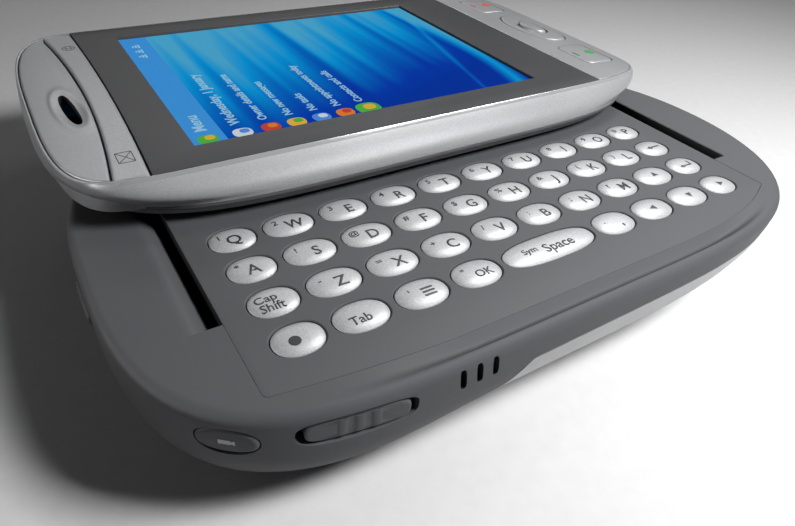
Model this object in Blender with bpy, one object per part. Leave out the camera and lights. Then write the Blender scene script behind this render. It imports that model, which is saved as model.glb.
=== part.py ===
"""Sliding personal digital assistant: a screen half that slides off a keyboard half.

Frame: +X along the length, +Y the way the screen half opens, +Z up. The origin is on the table
under the middle of the opened device. All values are in metres.
"""
import math

import bmesh
import bpy
from mathutils import Matrix, Vector

MM = 0.001

# Driving dimensions
GAP = 0.3 * MM                  # clearance between touching pieces
TRAVEL = 33.0 * MM              # how far the screen half slides
HALF_LENGTH = 52.5 * MM         # from the middle to either end
HALF_WIDTH = 30.3 * MM          # from the middle to either long side
BASE_Y = -TRAVEL / 2            # middle of the keyboard half
SLIDER_Y = TRAVEL / 2           # middle of the opened screen half
DECK_Z = 15.7 * MM              # keyboard surface
TOP_Z = 22.5 * MM               # screen surround surface
BELLY_LEFT = 11.0 * MM          # radius of the rounded lower edge at the left end
BELLY_RIGHT = 13.2 * MM         # and from the middle to the right end
BELLY_TURN_X = -38.0 * MM       # where the radius starts to grow
BELLY_TURN_LENGTH = 23.0 * MM
BELLY_TURNS = (90, 67.5, 45, 22.5, 0)  # degrees, from the flat underside to the upright side
SKIN = 1.2 * MM                 # thickness of the battery cover
WALL = 2.8 * MM                 # thickness of the keyboard half's wall
OUTLINE_STEPS = 52
RIM_HEIGHT = 1.1 * MM           # softened upper edge of the keyboard half
RIM_ROWS = (
    # inset and drop below the deck
    (0.3 * MM, 0.35 * MM),
    (1.1 * MM, 0.0),
)

# Exponents of the plan outline: (along X, along Y)
LEFT_CURVE = (5.5, 3.0)
RIGHT_CURVE = (4.4, 2.1)
RIGHT_LOW_CURVE = (3.0, 1.9)    # at the table
SLIDER_RIGHT_CURVE = (5.5, 2.0)
TOP_LEFT_CURVE = (20.0, 3.2)
TOP_RIGHT_CURVE = (10.0, 4.0)

# Keys
LAST_COLUMN = 9                 # columns are counted from 0
KEY_PITCH_X = 7.69 * MM
KEY_PITCH_Y = 6.24 * MM
KEYS_X = -1.0 * MM              # middle of the key field
KEYS_Y = -26.1 * MM
KEY_EDGE_SHIFT = 0.46 * MM      # the outer columns stand closer in
KEY_HALF = (3.3 * MM, 2.3 * MM)
EDGE_KEY_HALF = (2.88 * MM, 2.3 * MM)
SPACE_HALF = (7.3 * MM, 2.3 * MM)
KEY_CURVE = 2.2
SPACE_CURVE = 2.7
KEY_BOTTOM = 13.9 * MM
KEY_SHOULDER = 15.45 * MM
KEY_TOP = 15.95 * MM
KEY_CROWN = 0.6                 # size of the crown's flat against the key
KEY_STEPS = 16
KEY_ROWS = (
    ("q", "w", "e", "r", "t", "y", "u", "i", "o", "p"),
    ("a", "s", "d", "f", "g", "h", "j", "k", "l", "backspace"),
    ("shift", "z", "x", "c", "v", "b", "n", "m", "up", "enter"),
    ("function", "tab", "start", "ok", "space", None, "comma", "left", "down", "right"),
)

# Screen half
SCREEN_X = -6.5 * MM
SCREEN_HALF = (28.45 * MM, 21.34 * MM)
WINDOW_Y = 26.5 * MM            # half width of the dark surround's pocket
PANEL_X = 32.3 * MM             # where the dark surround meets the right panel
BAND_X = -44.05 * MM            # left edge of the application rocker at mid width
BEZEL_X = -40.8 * MM            # left edge of the dark surround at mid width
BAND_BOW = 2.76                 # bow of the rocker's left edge, per metre
BEZEL_BOW = 0.96                # bow of the surround's left edge, per metre
HOUSING_Z = 17.6 * MM           # underside of the painted housing
END_DROP = 1.3 * MM             # how far the top falls away towards either end
DROP_START_LEFT = -43.5 * MM
DROP_START_RIGHT = 38.5 * MM
DROP_LENGTH = 9.0 * MM

# Rail slots in the keyboard deck
SLOT_LEFT = (-44.2 * MM, -41.0 * MM)
SLOT_RIGHT = (40.1 * MM, 42.1 * MM)
SLOT_NEAR = -30.2 * MM
SLOT_FAR = 6.4 * MM
SLOT_WIDTH = 1.0 * MM           # the open part beside the left slot's ramp
SLOT_FLOOR = 13.5 * MM
SLOT_UNDERCUT = (11.0 * MM, 12.9 * MM)
SLOT_UNDERCUT_WIDTH = 3.2 * MM
FIN_NEAR = 3.2 * MM
FIN_FAR = 4.9 * MM

# Side controls: (place on the wall, direction of the outward normal in degrees)
VOLUME_AT = (Vector((-33.6 * MM, -45.55 * MM, 13.0 * MM)), -99.8)
RECORD_AT = (Vector((-44.95 * MM, -41.3 * MM, 12.5 * MM)), -129.3)
CAMERA_KEY_AT = (Vector((-24.0 * MM, 13.62 * MM, 12.6 * MM)), 90.0)
POWER_AT = (Vector((-52.3 * MM, BASE_Y, 12.6 * MM)), 180.0)
RECESS_DEPTH = 1.9 * MM
BUTTON_FLOAT = 0.65 * MM        # free height under a side button
BUTTON_EDGE = 0.5 * MM
BUTTON_PROUD = 0.3 * MM
VOLUME_PROUD = 0.25 * MM
VOLUME_HALF = (6.1 * MM, 1.6 * MM)
VOLUME_KNOB_HALF = (5.4 * MM, 1.6 * MM)
RECORD_HALF = (3.2 * MM, 1.8 * MM)
CAMERA_KEY_HALF = (4.6 * MM, 1.4 * MM)
POWER_HALF = (4.0 * MM, 1.3 * MM)
SLOT_CURVE = 4.0                # outline power of the long side controls
RECORD_CURVE = 2.2

# Openings in the keyboard half
KEY_HOLE_Z = (12.0 * MM, 17.0 * MM)
VENT_X = (-22.4 * MM, -20.35 * MM, -18.3 * MM)
VENT_HALF_WIDTH = 0.3 * MM
VENT_Y = (-50.0 * MM, -45.2 * MM)
VENT_Z = (12.3 * MM, 14.4 * MM)
SOCKET_LOW = (46.0 * MM, -20.4 * MM, 12.55 * MM)
SOCKET_HIGH = (58.0 * MM, -12.6 * MM, 14.35 * MM)
LENS_AT = Vector((-32.5 * MM, BASE_Y, 0))
LENS_RADIUS = 4.0 * MM
LENS_STEPS = 24
LENS_Z = (0.4 * MM, 3.6 * MM)
LENS_BORE_Z = (-2.0 * MM, 6.0 * MM)

# Battery cover edge: it rises from the floor in an S and then climbs gently
COVER_START = -19.0 * MM
COVER_CREST = -12.0 * MM
COVER_LOW_Z = 2.0 * MM
COVER_HIGH_Z = 11.7 * MM
COVER_END_Z = 13.2 * MM
COVER_STEPS = 8
BEYOND = 70.0 * MM              # farther out than any part of the device

# Pieces inside the keyboard half
CAVITY_Z = 12.9 * MM
UPPER_CAVITY_LOW = (-40.5 * MM, -39.5 * MM, 10.0 * MM)
UPPER_CAVITY_HIGH = (36.9 * MM, 7.0 * MM, 14.1 * MM)
BATTERY_LOW = Vector((-14.0 * MM, -30.5 * MM, 1.7 * MM))
BATTERY_HIGH = Vector((33.0 * MM, -2.5 * MM, 6.6 * MM))
BATTERY_MARGIN = 0.4 * MM
BATTERY_ROUND = 0.8 * MM
BOARD_LOW = (-39.0 * MM, -38.0 * MM, 10.3 * MM)
BOARD_HIGH = (34.0 * MM, 5.5 * MM, 11.1 * MM)
BLOCK_Z = (8.6 * MM, 10.5 * MM)
BLOCKS = (
    ((-36.0 * MM, -34.0 * MM), (-20.0 * MM, -14.0 * MM)),
    ((-16.0 * MM, -30.0 * MM), (4.0 * MM, -10.0 * MM)),
    ((10.0 * MM, -32.0 * MM), (30.0 * MM, -16.0 * MM)),
)
MAT_LOW = (-39.5 * MM, -38.6 * MM, 12.2 * MM)
MAT_HIGH = (36.0 * MM, -13.0 * MM, 13.0 * MM)
STYLUS_Y = 4.5 * MM
STYLUS_Z = 8.0 * MM
STYLUS_BORE_X = (28.0 * MM, 60.0 * MM)
STYLUS_BORE_RADIUS = 2.1 * MM
STYLUS_PROFILE = (
    # place along the length and radius, in millimetres
    (-38.0, 0.35),
    (-36.0, 1.0),
    (-33.0, 1.6),
    (38.0, 1.6),
    (38.1, 1.75),
    (43.3, 1.75),
    (43.8, 1.3),
)

# Sections of the screen half, in millimetres: height, then how far each side stands in
HOUSING_ROWS = (
    # height, left, right, side, how far the outline has turned into the top's sharper one
    (17.6, 1.2, 3.2, 1.2, 0.0),
    (17.9, 0.3, 2.3, 0.3, 0.0),
    (18.8, 0.0, 2.0, 0.0, 0.1),
    (20.2, 0.0, 2.3, 0.8, 0.3),
    (21.5, 0.1, 3.2, 2.2, 0.65),
    (22.4, 0.5, 4.3, 3.4, 1.0),
)
CAVITY_ROWS = (
    (17.0, 3.2, 4.7, 3.2),
    (20.0, 2.4, 4.2, 3.4),
    (20.3, 3.0, 5.5, 4.2),
)
PLATE_ROWS = (
    (16.2, 2.4, 3.9, 2.4),
    (16.6, 1.2, 2.7, 1.2),
    (17.3, 0.8, 2.3, 0.8),
)
FIN_HALF_WIDTH = 0.3 * MM
FIN_Z = (11.7 * MM, 16.5 * MM)
FOOT_REACH = 2.0 * MM
FOOT_Z = (11.6 * MM, 12.4 * MM)
WINDOW_MARGIN = 0.2 * MM        # ledge that the surround and the rocker rest inside
PLATE_MARGIN = 0.5 * MM
CUT_Z = (19.0 * MM, 25.0 * MM)  # heights of every tool that opens the top
BEZEL_Z = 21.1 * MM             # underside of the dark surround
DISPLAY_Z = (18.4 * MM, 20.8 * MM)
DISPLAY_MARGIN = 1.4 * MM
GLASS_Z = 22.0 * MM             # the screen's face, a little below the surround
CONTROL_Z = 20.6 * MM           # foot of the keys and the rocker on the top
HINGE_Z = 21.5 * MM

# Controls on the screen half
EARPIECE_AT = Vector((-46.6 * MM, SLIDER_Y - 4.2 * MM, 0))
EARPIECE_HALF = (1.0 * MM, 5.3 * MM)
SPEAKER_LOW = (-48.4 * MM, SLIDER_Y - 9.0 * MM, 17.7 * MM)
SPEAKER_HIGH = (-44.8 * MM, SLIDER_Y + 1.0 * MM, 19.0 * MM)
ROCKER_HINGE_X = -43.0 * MM
NAV_AT = Vector((40.5 * MM, SLIDER_Y, 0))
NAV_HALF = (4.2 * MM, 8.2 * MM)
NAV_RISE = 0.4 * MM
NAV_EDGE = 0.5 * MM
NAV_CENTRE_HALF = (1.9 * MM, 3.6 * MM)
NAV_CENTRE_RISE = 0.3 * MM
NAV_CURVE = 2.4
NAV_STEPS = 28
CALL_X = 39.7 * MM
CALL_Y = 15.6 * MM
CALL_HALF = (3.4 * MM, 4.6 * MM)
CALL_RISE = 0.1 * MM
CALL_CURVE = 5.0
CONTROL_STEPS = 20
KEY_BORDER = 0.4 * MM           # softened border of a key on the top

BASE_OFFSET = Vector((0, BASE_Y, 0))
SLIDER_OFFSET = Vector((0, SLIDER_Y, 0))


def material(name, colour, roughness, metallic=0.0):
    """A plain finish of one colour."""
    made = bpy.data.materials.new(name)
    made.use_nodes = True
    shader = made.node_tree.nodes["Principled BSDF"]
    shader.inputs["Base Color"].default_value = (*colour, 1.0)
    shader.inputs["Roughness"].default_value = roughness
    shader.inputs["Metallic"].default_value = metallic
    made.diffuse_color = (*colour, 1.0)
    return made


def mix(first, second, share):
    return tuple(a * (1 - share) + b * share for a, b in zip(first, second))


def plan_radius(direction, half_x, half_y, powers):
    """Distance from the middle to a superellipse in one direction, by bisection."""
    low, high = 0.0, half_x + half_y
    for _ in range(40):
        middle = (low + high) / 2
        reach_x = abs(middle * math.cos(direction) / half_x) ** powers[0]
        reach_y = abs(middle * math.sin(direction) / half_y) ** powers[1]
        if reach_x + reach_y < 1:
            low = middle
        else:
            high = middle
    return low


def outline_directions():
    """Directions that crowd together at the corners, where the outline turns."""
    directions = []
    for step in range(OUTLINE_STEPS):
        turn = 2 * math.pi * (step + 0.5) / OUTLINE_STEPS
        x = HALF_LENGTH * math.copysign(abs(math.cos(turn)) ** (2 / LEFT_CURVE[0]), math.cos(turn))
        y = HALF_WIDTH * math.copysign(abs(math.sin(turn)) ** (2 / LEFT_CURVE[1]), math.sin(turn))
        directions.append(math.atan2(y, x))
    return directions


DIRECTIONS = outline_directions()


def plan_loop(z, left, right, side, left_curve=LEFT_CURVE, right_curve=SLIDER_RIGHT_CURVE):
    """The plan outline at one height, moved in by left, right and side."""
    loop = []
    for direction in DIRECTIONS:
        if math.cos(direction) < 0:
            radius = plan_radius(direction, HALF_LENGTH - left, HALF_WIDTH - side, left_curve)
        else:
            radius = plan_radius(direction, HALF_LENGTH - right, HALF_WIDTH - side, right_curve)
        loop.append(Vector((radius * math.cos(direction), radius * math.sin(direction), z)))
    return loop


def new_object(name, mesh_data, finish=None):
    made = bpy.data.objects.new(name, mesh_data)
    bpy.context.scene.collection.objects.link(made)
    if finish:
        mesh_data.materials.append(finish)
    return made


def mesh_from(bm, name):
    """Finish a mesh with every face looking out."""
    bmesh.ops.recalc_face_normals(bm, faces=bm.faces)
    if bm.calc_volume(signed=True) < 0:
        bmesh.ops.reverse_faces(bm, faces=bm.faces)
    mesh_data = bpy.data.meshes.new(name)
    bm.to_mesh(mesh_data)
    bm.free()
    return mesh_data


def add_loft(bm, loops, offset=Vector((0, 0, 0))):
    """Skin a stack of equal loops and close both ends."""
    rings = [[bm.verts.new(point + offset) for point in loop] for loop in loops]
    count = len(rings[0])
    for lower, upper in zip(rings, rings[1:]):
        for index in range(count):
            following = (index + 1) % count
            bm.faces.new((lower[index], lower[following], upper[following], upper[index]))
    bm.faces.new(list(reversed(rings[0])))
    bm.faces.new(rings[-1])


def loft(name, loops, finish=None, offset=Vector((0, 0, 0))):
    bm = bmesh.new()
    add_loft(bm, loops, offset)
    return new_object(name, mesh_from(bm, name), finish)


def add_box(bm, low, high):
    corners = [(low[0], low[1]), (high[0], low[1]), (high[0], high[1]), (low[0], high[1])]
    add_loft(bm, [[Vector((x, y, z)) for x, y in corners] for z in (low[2], high[2])])


def box(name, low, high, finish=None):
    bm = bmesh.new()
    add_box(bm, low, high)
    return new_object(name, mesh_from(bm, name), finish)


def prism(name, profile, near_y, far_y):
    """A closed outline of (x, z) places drawn out along Y."""
    loops = [[Vector((x, y, z)) for x, z in profile] for y in (near_y, far_y)]
    return loft(name, loops)


def combine(target, tool, operation="DIFFERENCE"):
    """Apply one Boolean and delete the tool."""
    modifier = target.modifiers.new("combine", "BOOLEAN")
    modifier.operation = operation
    modifier.object = tool
    bpy.context.view_layer.update()
    result = bpy.data.meshes.new_from_object(
        target.evaluated_get(bpy.context.evaluated_depsgraph_get())
    )
    target.modifiers.clear()
    target.data = result
    result.name = target.name
    bpy.data.objects.remove(tool)
    return target


def tidy(target):
    """Merge stray corners and flat facets left by the cuts, and shade round faces smooth."""
    bm = bmesh.new()
    bm.from_mesh(target.data)
    bmesh.ops.remove_doubles(bm, verts=bm.verts, dist=0.0005 * MM)
    bmesh.ops.dissolve_limit(
        bm, angle_limit=math.radians(0.5), verts=bm.verts, edges=bm.edges, delimit={"NORMAL"}
    )
    bmesh.ops.triangulate(bm, faces=bm.faces)
    bm.to_mesh(target.data)
    bm.free()
    smooth(target)


def smooth(target):
    target.data.shade_smooth()
    target.data.set_sharp_from_angle(angle=math.radians(35))


def oval(half_x, half_y, power, z, steps=KEY_STEPS):
    """A superellipse loop about the origin."""
    loop = []
    for step in range(steps):
        turn = 2 * math.pi * (step + 0.5) / steps
        x = half_x * math.copysign(abs(math.cos(turn)) ** (2 / power), math.cos(turn))
        y = half_y * math.copysign(abs(math.sin(turn)) ** (2 / power), math.sin(turn))
        loop.append(Vector((x, y, z)))
    return loop


def place(target, at, normal_degrees):
    """Turn a piece built along its own +Z so that it looks out of a wall at a point."""
    turn = Matrix.Rotation(math.radians(normal_degrees), 4, "Z")
    tip = Matrix.Rotation(math.radians(90), 4, "Y")
    spin = Matrix.Rotation(math.radians(90), 4, "Z")
    target.matrix_world = Matrix.Translation(at) @ turn @ tip @ spin
    bpy.context.view_layer.update()


def set_origin(target, point):
    """Move a piece's origin without moving the piece."""
    target.data.transform(Matrix.Translation(-point))
    target.location = point


# ---------------------------------------------------------------- keyboard half


def ease(value):
    """A smooth step from 0 to 1."""
    value = min(1.0, max(0.0, value))
    return value * value * (3 - 2 * value)


def base_point(direction, inset, height):
    """The keyboard half's outline in one direction, moved in by an inset at a height."""
    if math.cos(direction) < 0:
        curve = LEFT_CURVE
    else:
        curve = mix(RIGHT_LOW_CURVE, RIGHT_CURVE, min(1.0, height / DECK_Z))
    radius = plan_radius(direction, HALF_LENGTH - inset, HALF_WIDTH - inset, curve)
    return Vector((radius * math.cos(direction), radius * math.sin(direction), height))


def belly_at(direction):
    """Radius of the rounded lower edge below one place of the outline."""
    x = base_point(direction, 0.0, DECK_Z).x
    turned = ease((x - BELLY_TURN_X) / BELLY_TURN_LENGTH)
    return BELLY_LEFT + (BELLY_RIGHT - BELLY_LEFT) * turned


def base_loop(z, inset):
    return [base_point(direction, inset, z) for direction in DIRECTIONS]


def belly_loops(inward, top):
    """Loops of the keyboard half's outer form, moved in everywhere by one wall thickness."""
    loops = []
    bellies = [belly_at(direction) for direction in DIRECTIONS]
    # a form that ends below the largest radius goes straight to its top
    turns = BELLY_TURNS if top > BELLY_RIGHT else BELLY_TURNS[:-1]
    for degrees in turns:
        turn = math.radians(degrees)
        loop = []
        for direction, belly in zip(DIRECTIONS, bellies):
            inset = belly - (belly - inward) * math.cos(turn)
            height = belly - (belly - inward) * math.sin(turn)
            loop.append(base_point(direction, inset, height))
        loops.append(loop)
    loops.append(base_loop(top, inward))
    return loops


def outer_loops():
    """The outer form with its softened upper edge."""
    loops = belly_loops(0.0, DECK_Z - RIM_HEIGHT)
    for inset, drop in RIM_ROWS:
        loops.append(base_loop(DECK_Z - drop, inset))
    return loops


def cover_prism(name, clearance):
    """The region below the S-curved edge where the battery cover wraps the keyboard half."""
    left = COVER_START - clearance
    profile = [(left, -BEYOND), (left, COVER_LOW_Z)]
    for step in range(1, COVER_STEPS + 1):
        share = step / COVER_STEPS
        x = COVER_START + (COVER_CREST - COVER_START) * share
        z = COVER_LOW_Z + (COVER_HIGH_Z - COVER_LOW_Z) * ease(share)
        profile.append((x - clearance, z + clearance))
    profile.append((BEYOND, COVER_END_Z + clearance))
    profile.append((BEYOND, -BEYOND))
    return prism(name, profile, -BEYOND, BEYOND)


def key_place(row, column):
    """Middle of a key, in plan."""
    x = KEYS_X + (column - LAST_COLUMN / 2) * KEY_PITCH_X
    if column == 0:
        x += KEY_EDGE_SHIFT
    if column == LAST_COLUMN:
        x -= KEY_EDGE_SHIFT
    y = KEYS_Y - (row - 1.5) * KEY_PITCH_Y
    return Vector((x, y, 0))


def all_keys():
    """Name, middle, half size and outline power of every key."""
    keys = []
    for row, names in enumerate(KEY_ROWS):
        for column, name in enumerate(names):
            if name == "space":
                middle = (key_place(row, column) + key_place(row, column + 1)) / 2
                keys.append((name, middle, SPACE_HALF, SPACE_CURVE))
            elif name:
                half = EDGE_KEY_HALF if column in (0, LAST_COLUMN) else KEY_HALF
                keys.append((name, key_place(row, column), half, KEY_CURVE))
    return keys


def key_hole_tool():
    bm = bmesh.new()
    for _, middle, half, power in all_keys():
        loops = [oval(half[0] + GAP, half[1] + GAP, power, z) for z in KEY_HOLE_Z]
        add_loft(bm, loops, middle)
    return new_object("key_hole_tool", mesh_from(bm, "key_hole_tool"))


def left_slot_tool():
    """The left rail slot: a ramp down to a narrow open part with an undercut for the hook."""
    outer_x, inner_x = SLOT_LEFT
    through_x = inner_x - SLOT_WIDTH
    undercut_x = inner_x - SLOT_UNDERCUT_WIDTH
    profile = [
        (outer_x, TOP_Z),
        (outer_x, DECK_Z),
        (through_x, SLOT_FLOOR),
        (through_x, SLOT_UNDERCUT[1]),
        (undercut_x, SLOT_UNDERCUT[1]),
        (undercut_x, SLOT_UNDERCUT[0]),
        (inner_x, SLOT_UNDERCUT[0]),
        (inner_x, TOP_Z),
    ]
    return prism("left_slot_tool", profile, SLOT_NEAR, SLOT_FAR)


def right_slot_tool():
    """The right rail slot: straight walls, with an undercut towards the keys."""
    inner_x, outer_x = SLOT_RIGHT
    undercut_x = outer_x - SLOT_UNDERCUT_WIDTH
    profile = [
        (inner_x, TOP_Z),
        (inner_x, SLOT_UNDERCUT[1]),
        (undercut_x, SLOT_UNDERCUT[1]),
        (undercut_x, SLOT_UNDERCUT[0]),
        (outer_x, SLOT_UNDERCUT[0]),
        (outer_x, TOP_Z),
    ]
    return prism("right_slot_tool", profile, SLOT_NEAR, SLOT_FAR)


def wall_tool(at, normal_degrees, half, power):
    """An oval cutter that enters a wall from outside."""
    tool = loft("wall_tool", [oval(*half, power, -RECESS_DEPTH), oval(*half, power, BELLY_LEFT)])
    place(tool, at, normal_degrees)
    return tool


def base_housing(finish):
    housing = loft("base_housing", outer_loops(), finish, BASE_OFFSET)
    shell = cover_prism("cover_region", GAP)
    core = loft("core", belly_loops(SKIN + GAP, TOP_Z), None, BASE_OFFSET)
    combine(housing, combine(shell, core))
    combine(housing, loft("cavity", belly_loops(WALL, CAVITY_Z), None, BASE_OFFSET))
    combine(housing, box("upper_cavity", UPPER_CAVITY_LOW, UPPER_CAVITY_HIGH))
    margin = Vector((BATTERY_MARGIN, BATTERY_MARGIN, 0))
    low = BATTERY_LOW - margin - Vector((0, 0, SKIN))
    combine(housing, box("battery_pocket", low, BATTERY_HIGH + margin))
    combine(housing, key_hole_tool())
    combine(housing, left_slot_tool())
    combine(housing, right_slot_tool())
    combine(housing, wall_tool(*VOLUME_AT, VOLUME_HALF, SLOT_CURVE))
    combine(housing, wall_tool(*RECORD_AT, RECORD_HALF, RECORD_CURVE))
    combine(housing, wall_tool(*CAMERA_KEY_AT, CAMERA_KEY_HALF, SLOT_CURVE))
    combine(housing, wall_tool(*POWER_AT, POWER_HALF, SLOT_CURVE))
    combine(housing, vent_tool())
    combine(housing, stylus_bore())
    combine(housing, lens_bore())
    combine(housing, socket_tool())
    tidy(housing)
    return housing


def vent_tool():
    """Three sound slots through the near wall."""
    bm = bmesh.new()
    for x in VENT_X:
        low = (x - VENT_HALF_WIDTH, VENT_Y[0], VENT_Z[0])
        high = (x + VENT_HALF_WIDTH, VENT_Y[1], VENT_Z[1])
        add_box(bm, low, high)
    return new_object("vent_tool", mesh_from(bm, "vent_tool"))


def rod(name, start, end, radius, steps, finish=None):
    """A round bar between two points."""
    bm = bmesh.new()
    length = (end - start).length
    bmesh.ops.create_cone(
        bm, cap_ends=True, segments=steps, radius1=radius, radius2=radius, depth=length
    )
    along = (end - start).to_track_quat("Z", "Y").to_matrix().to_4x4()
    bm.transform(Matrix.Translation((start + end) / 2) @ along)
    return new_object(name, mesh_from(bm, name), finish)


def stylus_bore():
    start = Vector((STYLUS_BORE_X[0], STYLUS_Y, STYLUS_Z))
    end = Vector((STYLUS_BORE_X[1], STYLUS_Y, STYLUS_Z))
    return rod("stylus_bore", start, end, STYLUS_BORE_RADIUS, CONTROL_STEPS)


def lens_bore():
    start = LENS_AT + Vector((0, 0, LENS_BORE_Z[0]))
    end = LENS_AT + Vector((0, 0, LENS_BORE_Z[1]))
    return rod("lens_bore", start, end, LENS_RADIUS + GAP, LENS_STEPS)


def socket_tool():
    """The charging socket in the right end."""
    return box("socket_tool", SOCKET_LOW, SOCKET_HIGH)


def battery_cover(finish):
    cover = loft("battery_cover", outer_loops(), finish, BASE_OFFSET)
    combine(cover, cover_prism("cover_region", 0.0), "INTERSECT")
    combine(cover, loft("core", belly_loops(SKIN, TOP_Z), None, BASE_OFFSET))
    combine(cover, stylus_bore())
    combine(cover, socket_tool())
    tidy(cover)
    return cover


def camera_window(finish):
    start = LENS_AT + Vector((0, 0, LENS_Z[0]))
    end = LENS_AT + Vector((0, 0, LENS_Z[1]))
    lens = rod("camera_window", start, end, LENS_RADIUS, LENS_STEPS, finish)
    smooth(lens)
    return lens


def battery_pack(finish):
    pack = box("battery_pack", BATTERY_LOW, BATTERY_HIGH, finish)
    bevel = pack.modifiers.new("round", "BEVEL")
    bevel.width = BATTERY_ROUND
    bevel.segments = 2
    smooth(pack)
    return pack


def main_board(finish):
    """The circuit board with its shielded blocks."""
    board = box("main_board", BOARD_LOW, BOARD_HIGH, finish)
    for low, high in BLOCKS:
        block = box("block", (*low, BLOCK_Z[0]), (*high, BLOCK_Z[1]))
        combine(board, block, "UNION")
    tidy(board)
    return board


def keypad_mat(finish):
    """The rubber sheet whose domes carry the keys."""
    return box("keypad_mat", MAT_LOW, MAT_HIGH, finish)


def keys(finish):
    for name, middle, half, power in all_keys():
        loops = [
            oval(*half, power, KEY_BOTTOM),
            oval(*half, power, KEY_SHOULDER),
            oval(half[0] * KEY_CROWN, half[1] * KEY_CROWN, power, KEY_TOP),
        ]
        key = loft("key_" + name, loops, finish)
        key.location = middle
        smooth(key)


def wall_button(name, at, normal_degrees, half, power, proud, finish):
    """A side button standing in its recess, free to travel inwards."""
    wide, tall = half[0] - GAP, half[1] - GAP
    loops = [
        oval(wide, tall, power, BUTTON_FLOAT - RECESS_DEPTH),
        oval(wide, tall, power, proud - GAP),
        oval(wide - BUTTON_EDGE, tall - BUTTON_EDGE, power, proud),
    ]
    button = loft(name, loops, finish)
    place(button, at, normal_degrees)
    smooth(button)
    return button


def stylus(finish):
    """A tapered pointer with a thicker cap, lying in its silo."""
    loops = []
    for x, radius in STYLUS_PROFILE:
        ring = oval(radius * MM, radius * MM, 2.0, x * MM, 16)
        loops.append([Vector((point.z, point.x, point.y)) for point in ring])
    pointer = loft("stylus", loops, finish, Vector((0, STYLUS_Y, STYLUS_Z)))
    smooth(pointer)
    return pointer


# ---------------------------------------------------------------- screen half


def drop_ends(target):
    """Let the top fall away softly towards both ends."""
    for vertex in target.data.vertices:
        point = vertex.co
        if point.x < DROP_START_LEFT:
            share = (DROP_START_LEFT - point.x) / DROP_LENGTH
        elif point.x > DROP_START_RIGHT:
            share = (point.x - DROP_START_RIGHT) / DROP_LENGTH
        else:
            continue
        lift = max(0.0, (point.z - HOUSING_Z) / (TOP_Z - HOUSING_Z))
        point.z -= END_DROP * min(share, 1.2) ** 2 * min(lift, 1.1)


def housing_loops():
    loops = []
    for z, left, right, side, share in HOUSING_ROWS:
        left_curve = mix(LEFT_CURVE, TOP_LEFT_CURVE, share)
        right_curve = mix(SLIDER_RIGHT_CURVE, TOP_RIGHT_CURVE, share)
        loops.append(plan_loop(z * MM, left * MM, right * MM, side * MM, left_curve, right_curve))
    return loops


def plain_loops(rows):
    """Loops of the plan outline for rows of height, left, right and side in millimetres."""
    return [plan_loop(z * MM, left * MM, right * MM, side * MM) for z, left, right, side in rows]


def bowed_plate(name, left_x, left_bow, right_x, right_bow, half_y, low_z, high_z, finish=None):
    """A plate whose ends are shallow arcs, bowed towards the left at the corners."""
    steps = 8
    ys = [half_y * (2 * step / steps - 1) for step in range(steps + 1)]
    plan = [(right_x - right_bow * y * y, y) for y in ys]
    plan += [(left_x - left_bow * y * y, y) for y in reversed(ys)]
    loops = [[Vector((x, y, z)) for x, y in plan] for z in (low_z, high_z)]
    return loft(name, loops, finish, SLIDER_OFFSET)


def slider_housing(finish):
    housing = loft("slider_housing", housing_loops(), finish, SLIDER_OFFSET)
    combine(housing, loft("cavity", plain_loops(CAVITY_ROWS), None, SLIDER_OFFSET))
    window = bowed_plate(
        "window",
        BAND_X - GAP / 2,
        BAND_BOW,
        PANEL_X + GAP,
        0.0,
        WINDOW_Y - WINDOW_MARGIN,
        *CUT_Z,
    )
    combine(housing, earpiece_tool())
    combine(housing, navigation_tool())
    combine(housing, window)
    tidy(housing)
    drop_ends(housing)
    return housing


def navigation_tool():
    """Openings for the navigation pad and the two call keys."""
    bm = bmesh.new()
    wide, tall = NAV_HALF[0] + GAP, NAV_HALF[1] + GAP
    add_loft(bm, [oval(wide, tall, NAV_CURVE, z, NAV_STEPS) for z in CUT_Z], NAV_AT)
    wide, tall = CALL_HALF[0] + GAP, CALL_HALF[1] + GAP
    for side in (-1, 1):
        middle = Vector((CALL_X, SLIDER_Y + side * CALL_Y, 0))
        add_loft(bm, [oval(wide, tall, CALL_CURVE, z) for z in CUT_Z], middle)
    return new_object("navigation_tool", mesh_from(bm, "navigation_tool"))


def earpiece_tool():
    """The long oval sound opening in the left cap."""
    loops = [oval(*EARPIECE_HALF, NAV_CURVE, z, CONTROL_STEPS) for z in CUT_Z]
    return loft("earpiece_tool", loops, None, EARPIECE_AT)


def slider_plate(finish):
    """The dark underside with the two hooked fins that run in the deck's slots."""
    plate = loft("slider_plate", plain_loops(PLATE_ROWS), finish, SLIDER_OFFSET)
    for middle in (SLOT_LEFT[1] - SLOT_WIDTH / 2, (SLOT_RIGHT[0] + SLOT_RIGHT[1]) / 2):
        fin = (middle - FIN_HALF_WIDTH, middle + FIN_HALF_WIDTH)
        foot = (middle - FOOT_REACH, fin[1])
        for name, across, heights in (("fin", fin, FIN_Z), ("foot", foot, FOOT_Z)):
            low = (across[0], FIN_NEAR, heights[0])
            high = (across[1], FIN_FAR, heights[1])
            combine(plate, box(name, low, high), "UNION")
    tidy(plate)
    return plate


def screen_bezel(finish):
    bezel = bowed_plate(
        "screen_bezel",
        BEZEL_X,
        BEZEL_BOW,
        PANEL_X,
        0.0,
        WINDOW_Y - PLATE_MARGIN,
        BEZEL_Z,
        TOP_Z,
        finish,
    )
    combine(bezel, screen_box("screen_tool", 0.0, *CUT_Z))
    tidy(bezel)
    return bezel


def screen_box(name, margin, low_z, high_z, finish=None):
    """A block with the outline of the lit screen, grown by a margin."""
    wide, tall = SCREEN_HALF[0] + margin, SCREEN_HALF[1] + margin
    low = (SCREEN_X - wide, SLIDER_Y - tall, low_z)
    high = (SCREEN_X + wide, SLIDER_Y + tall, high_z)
    return box(name, low, high, finish)


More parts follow.
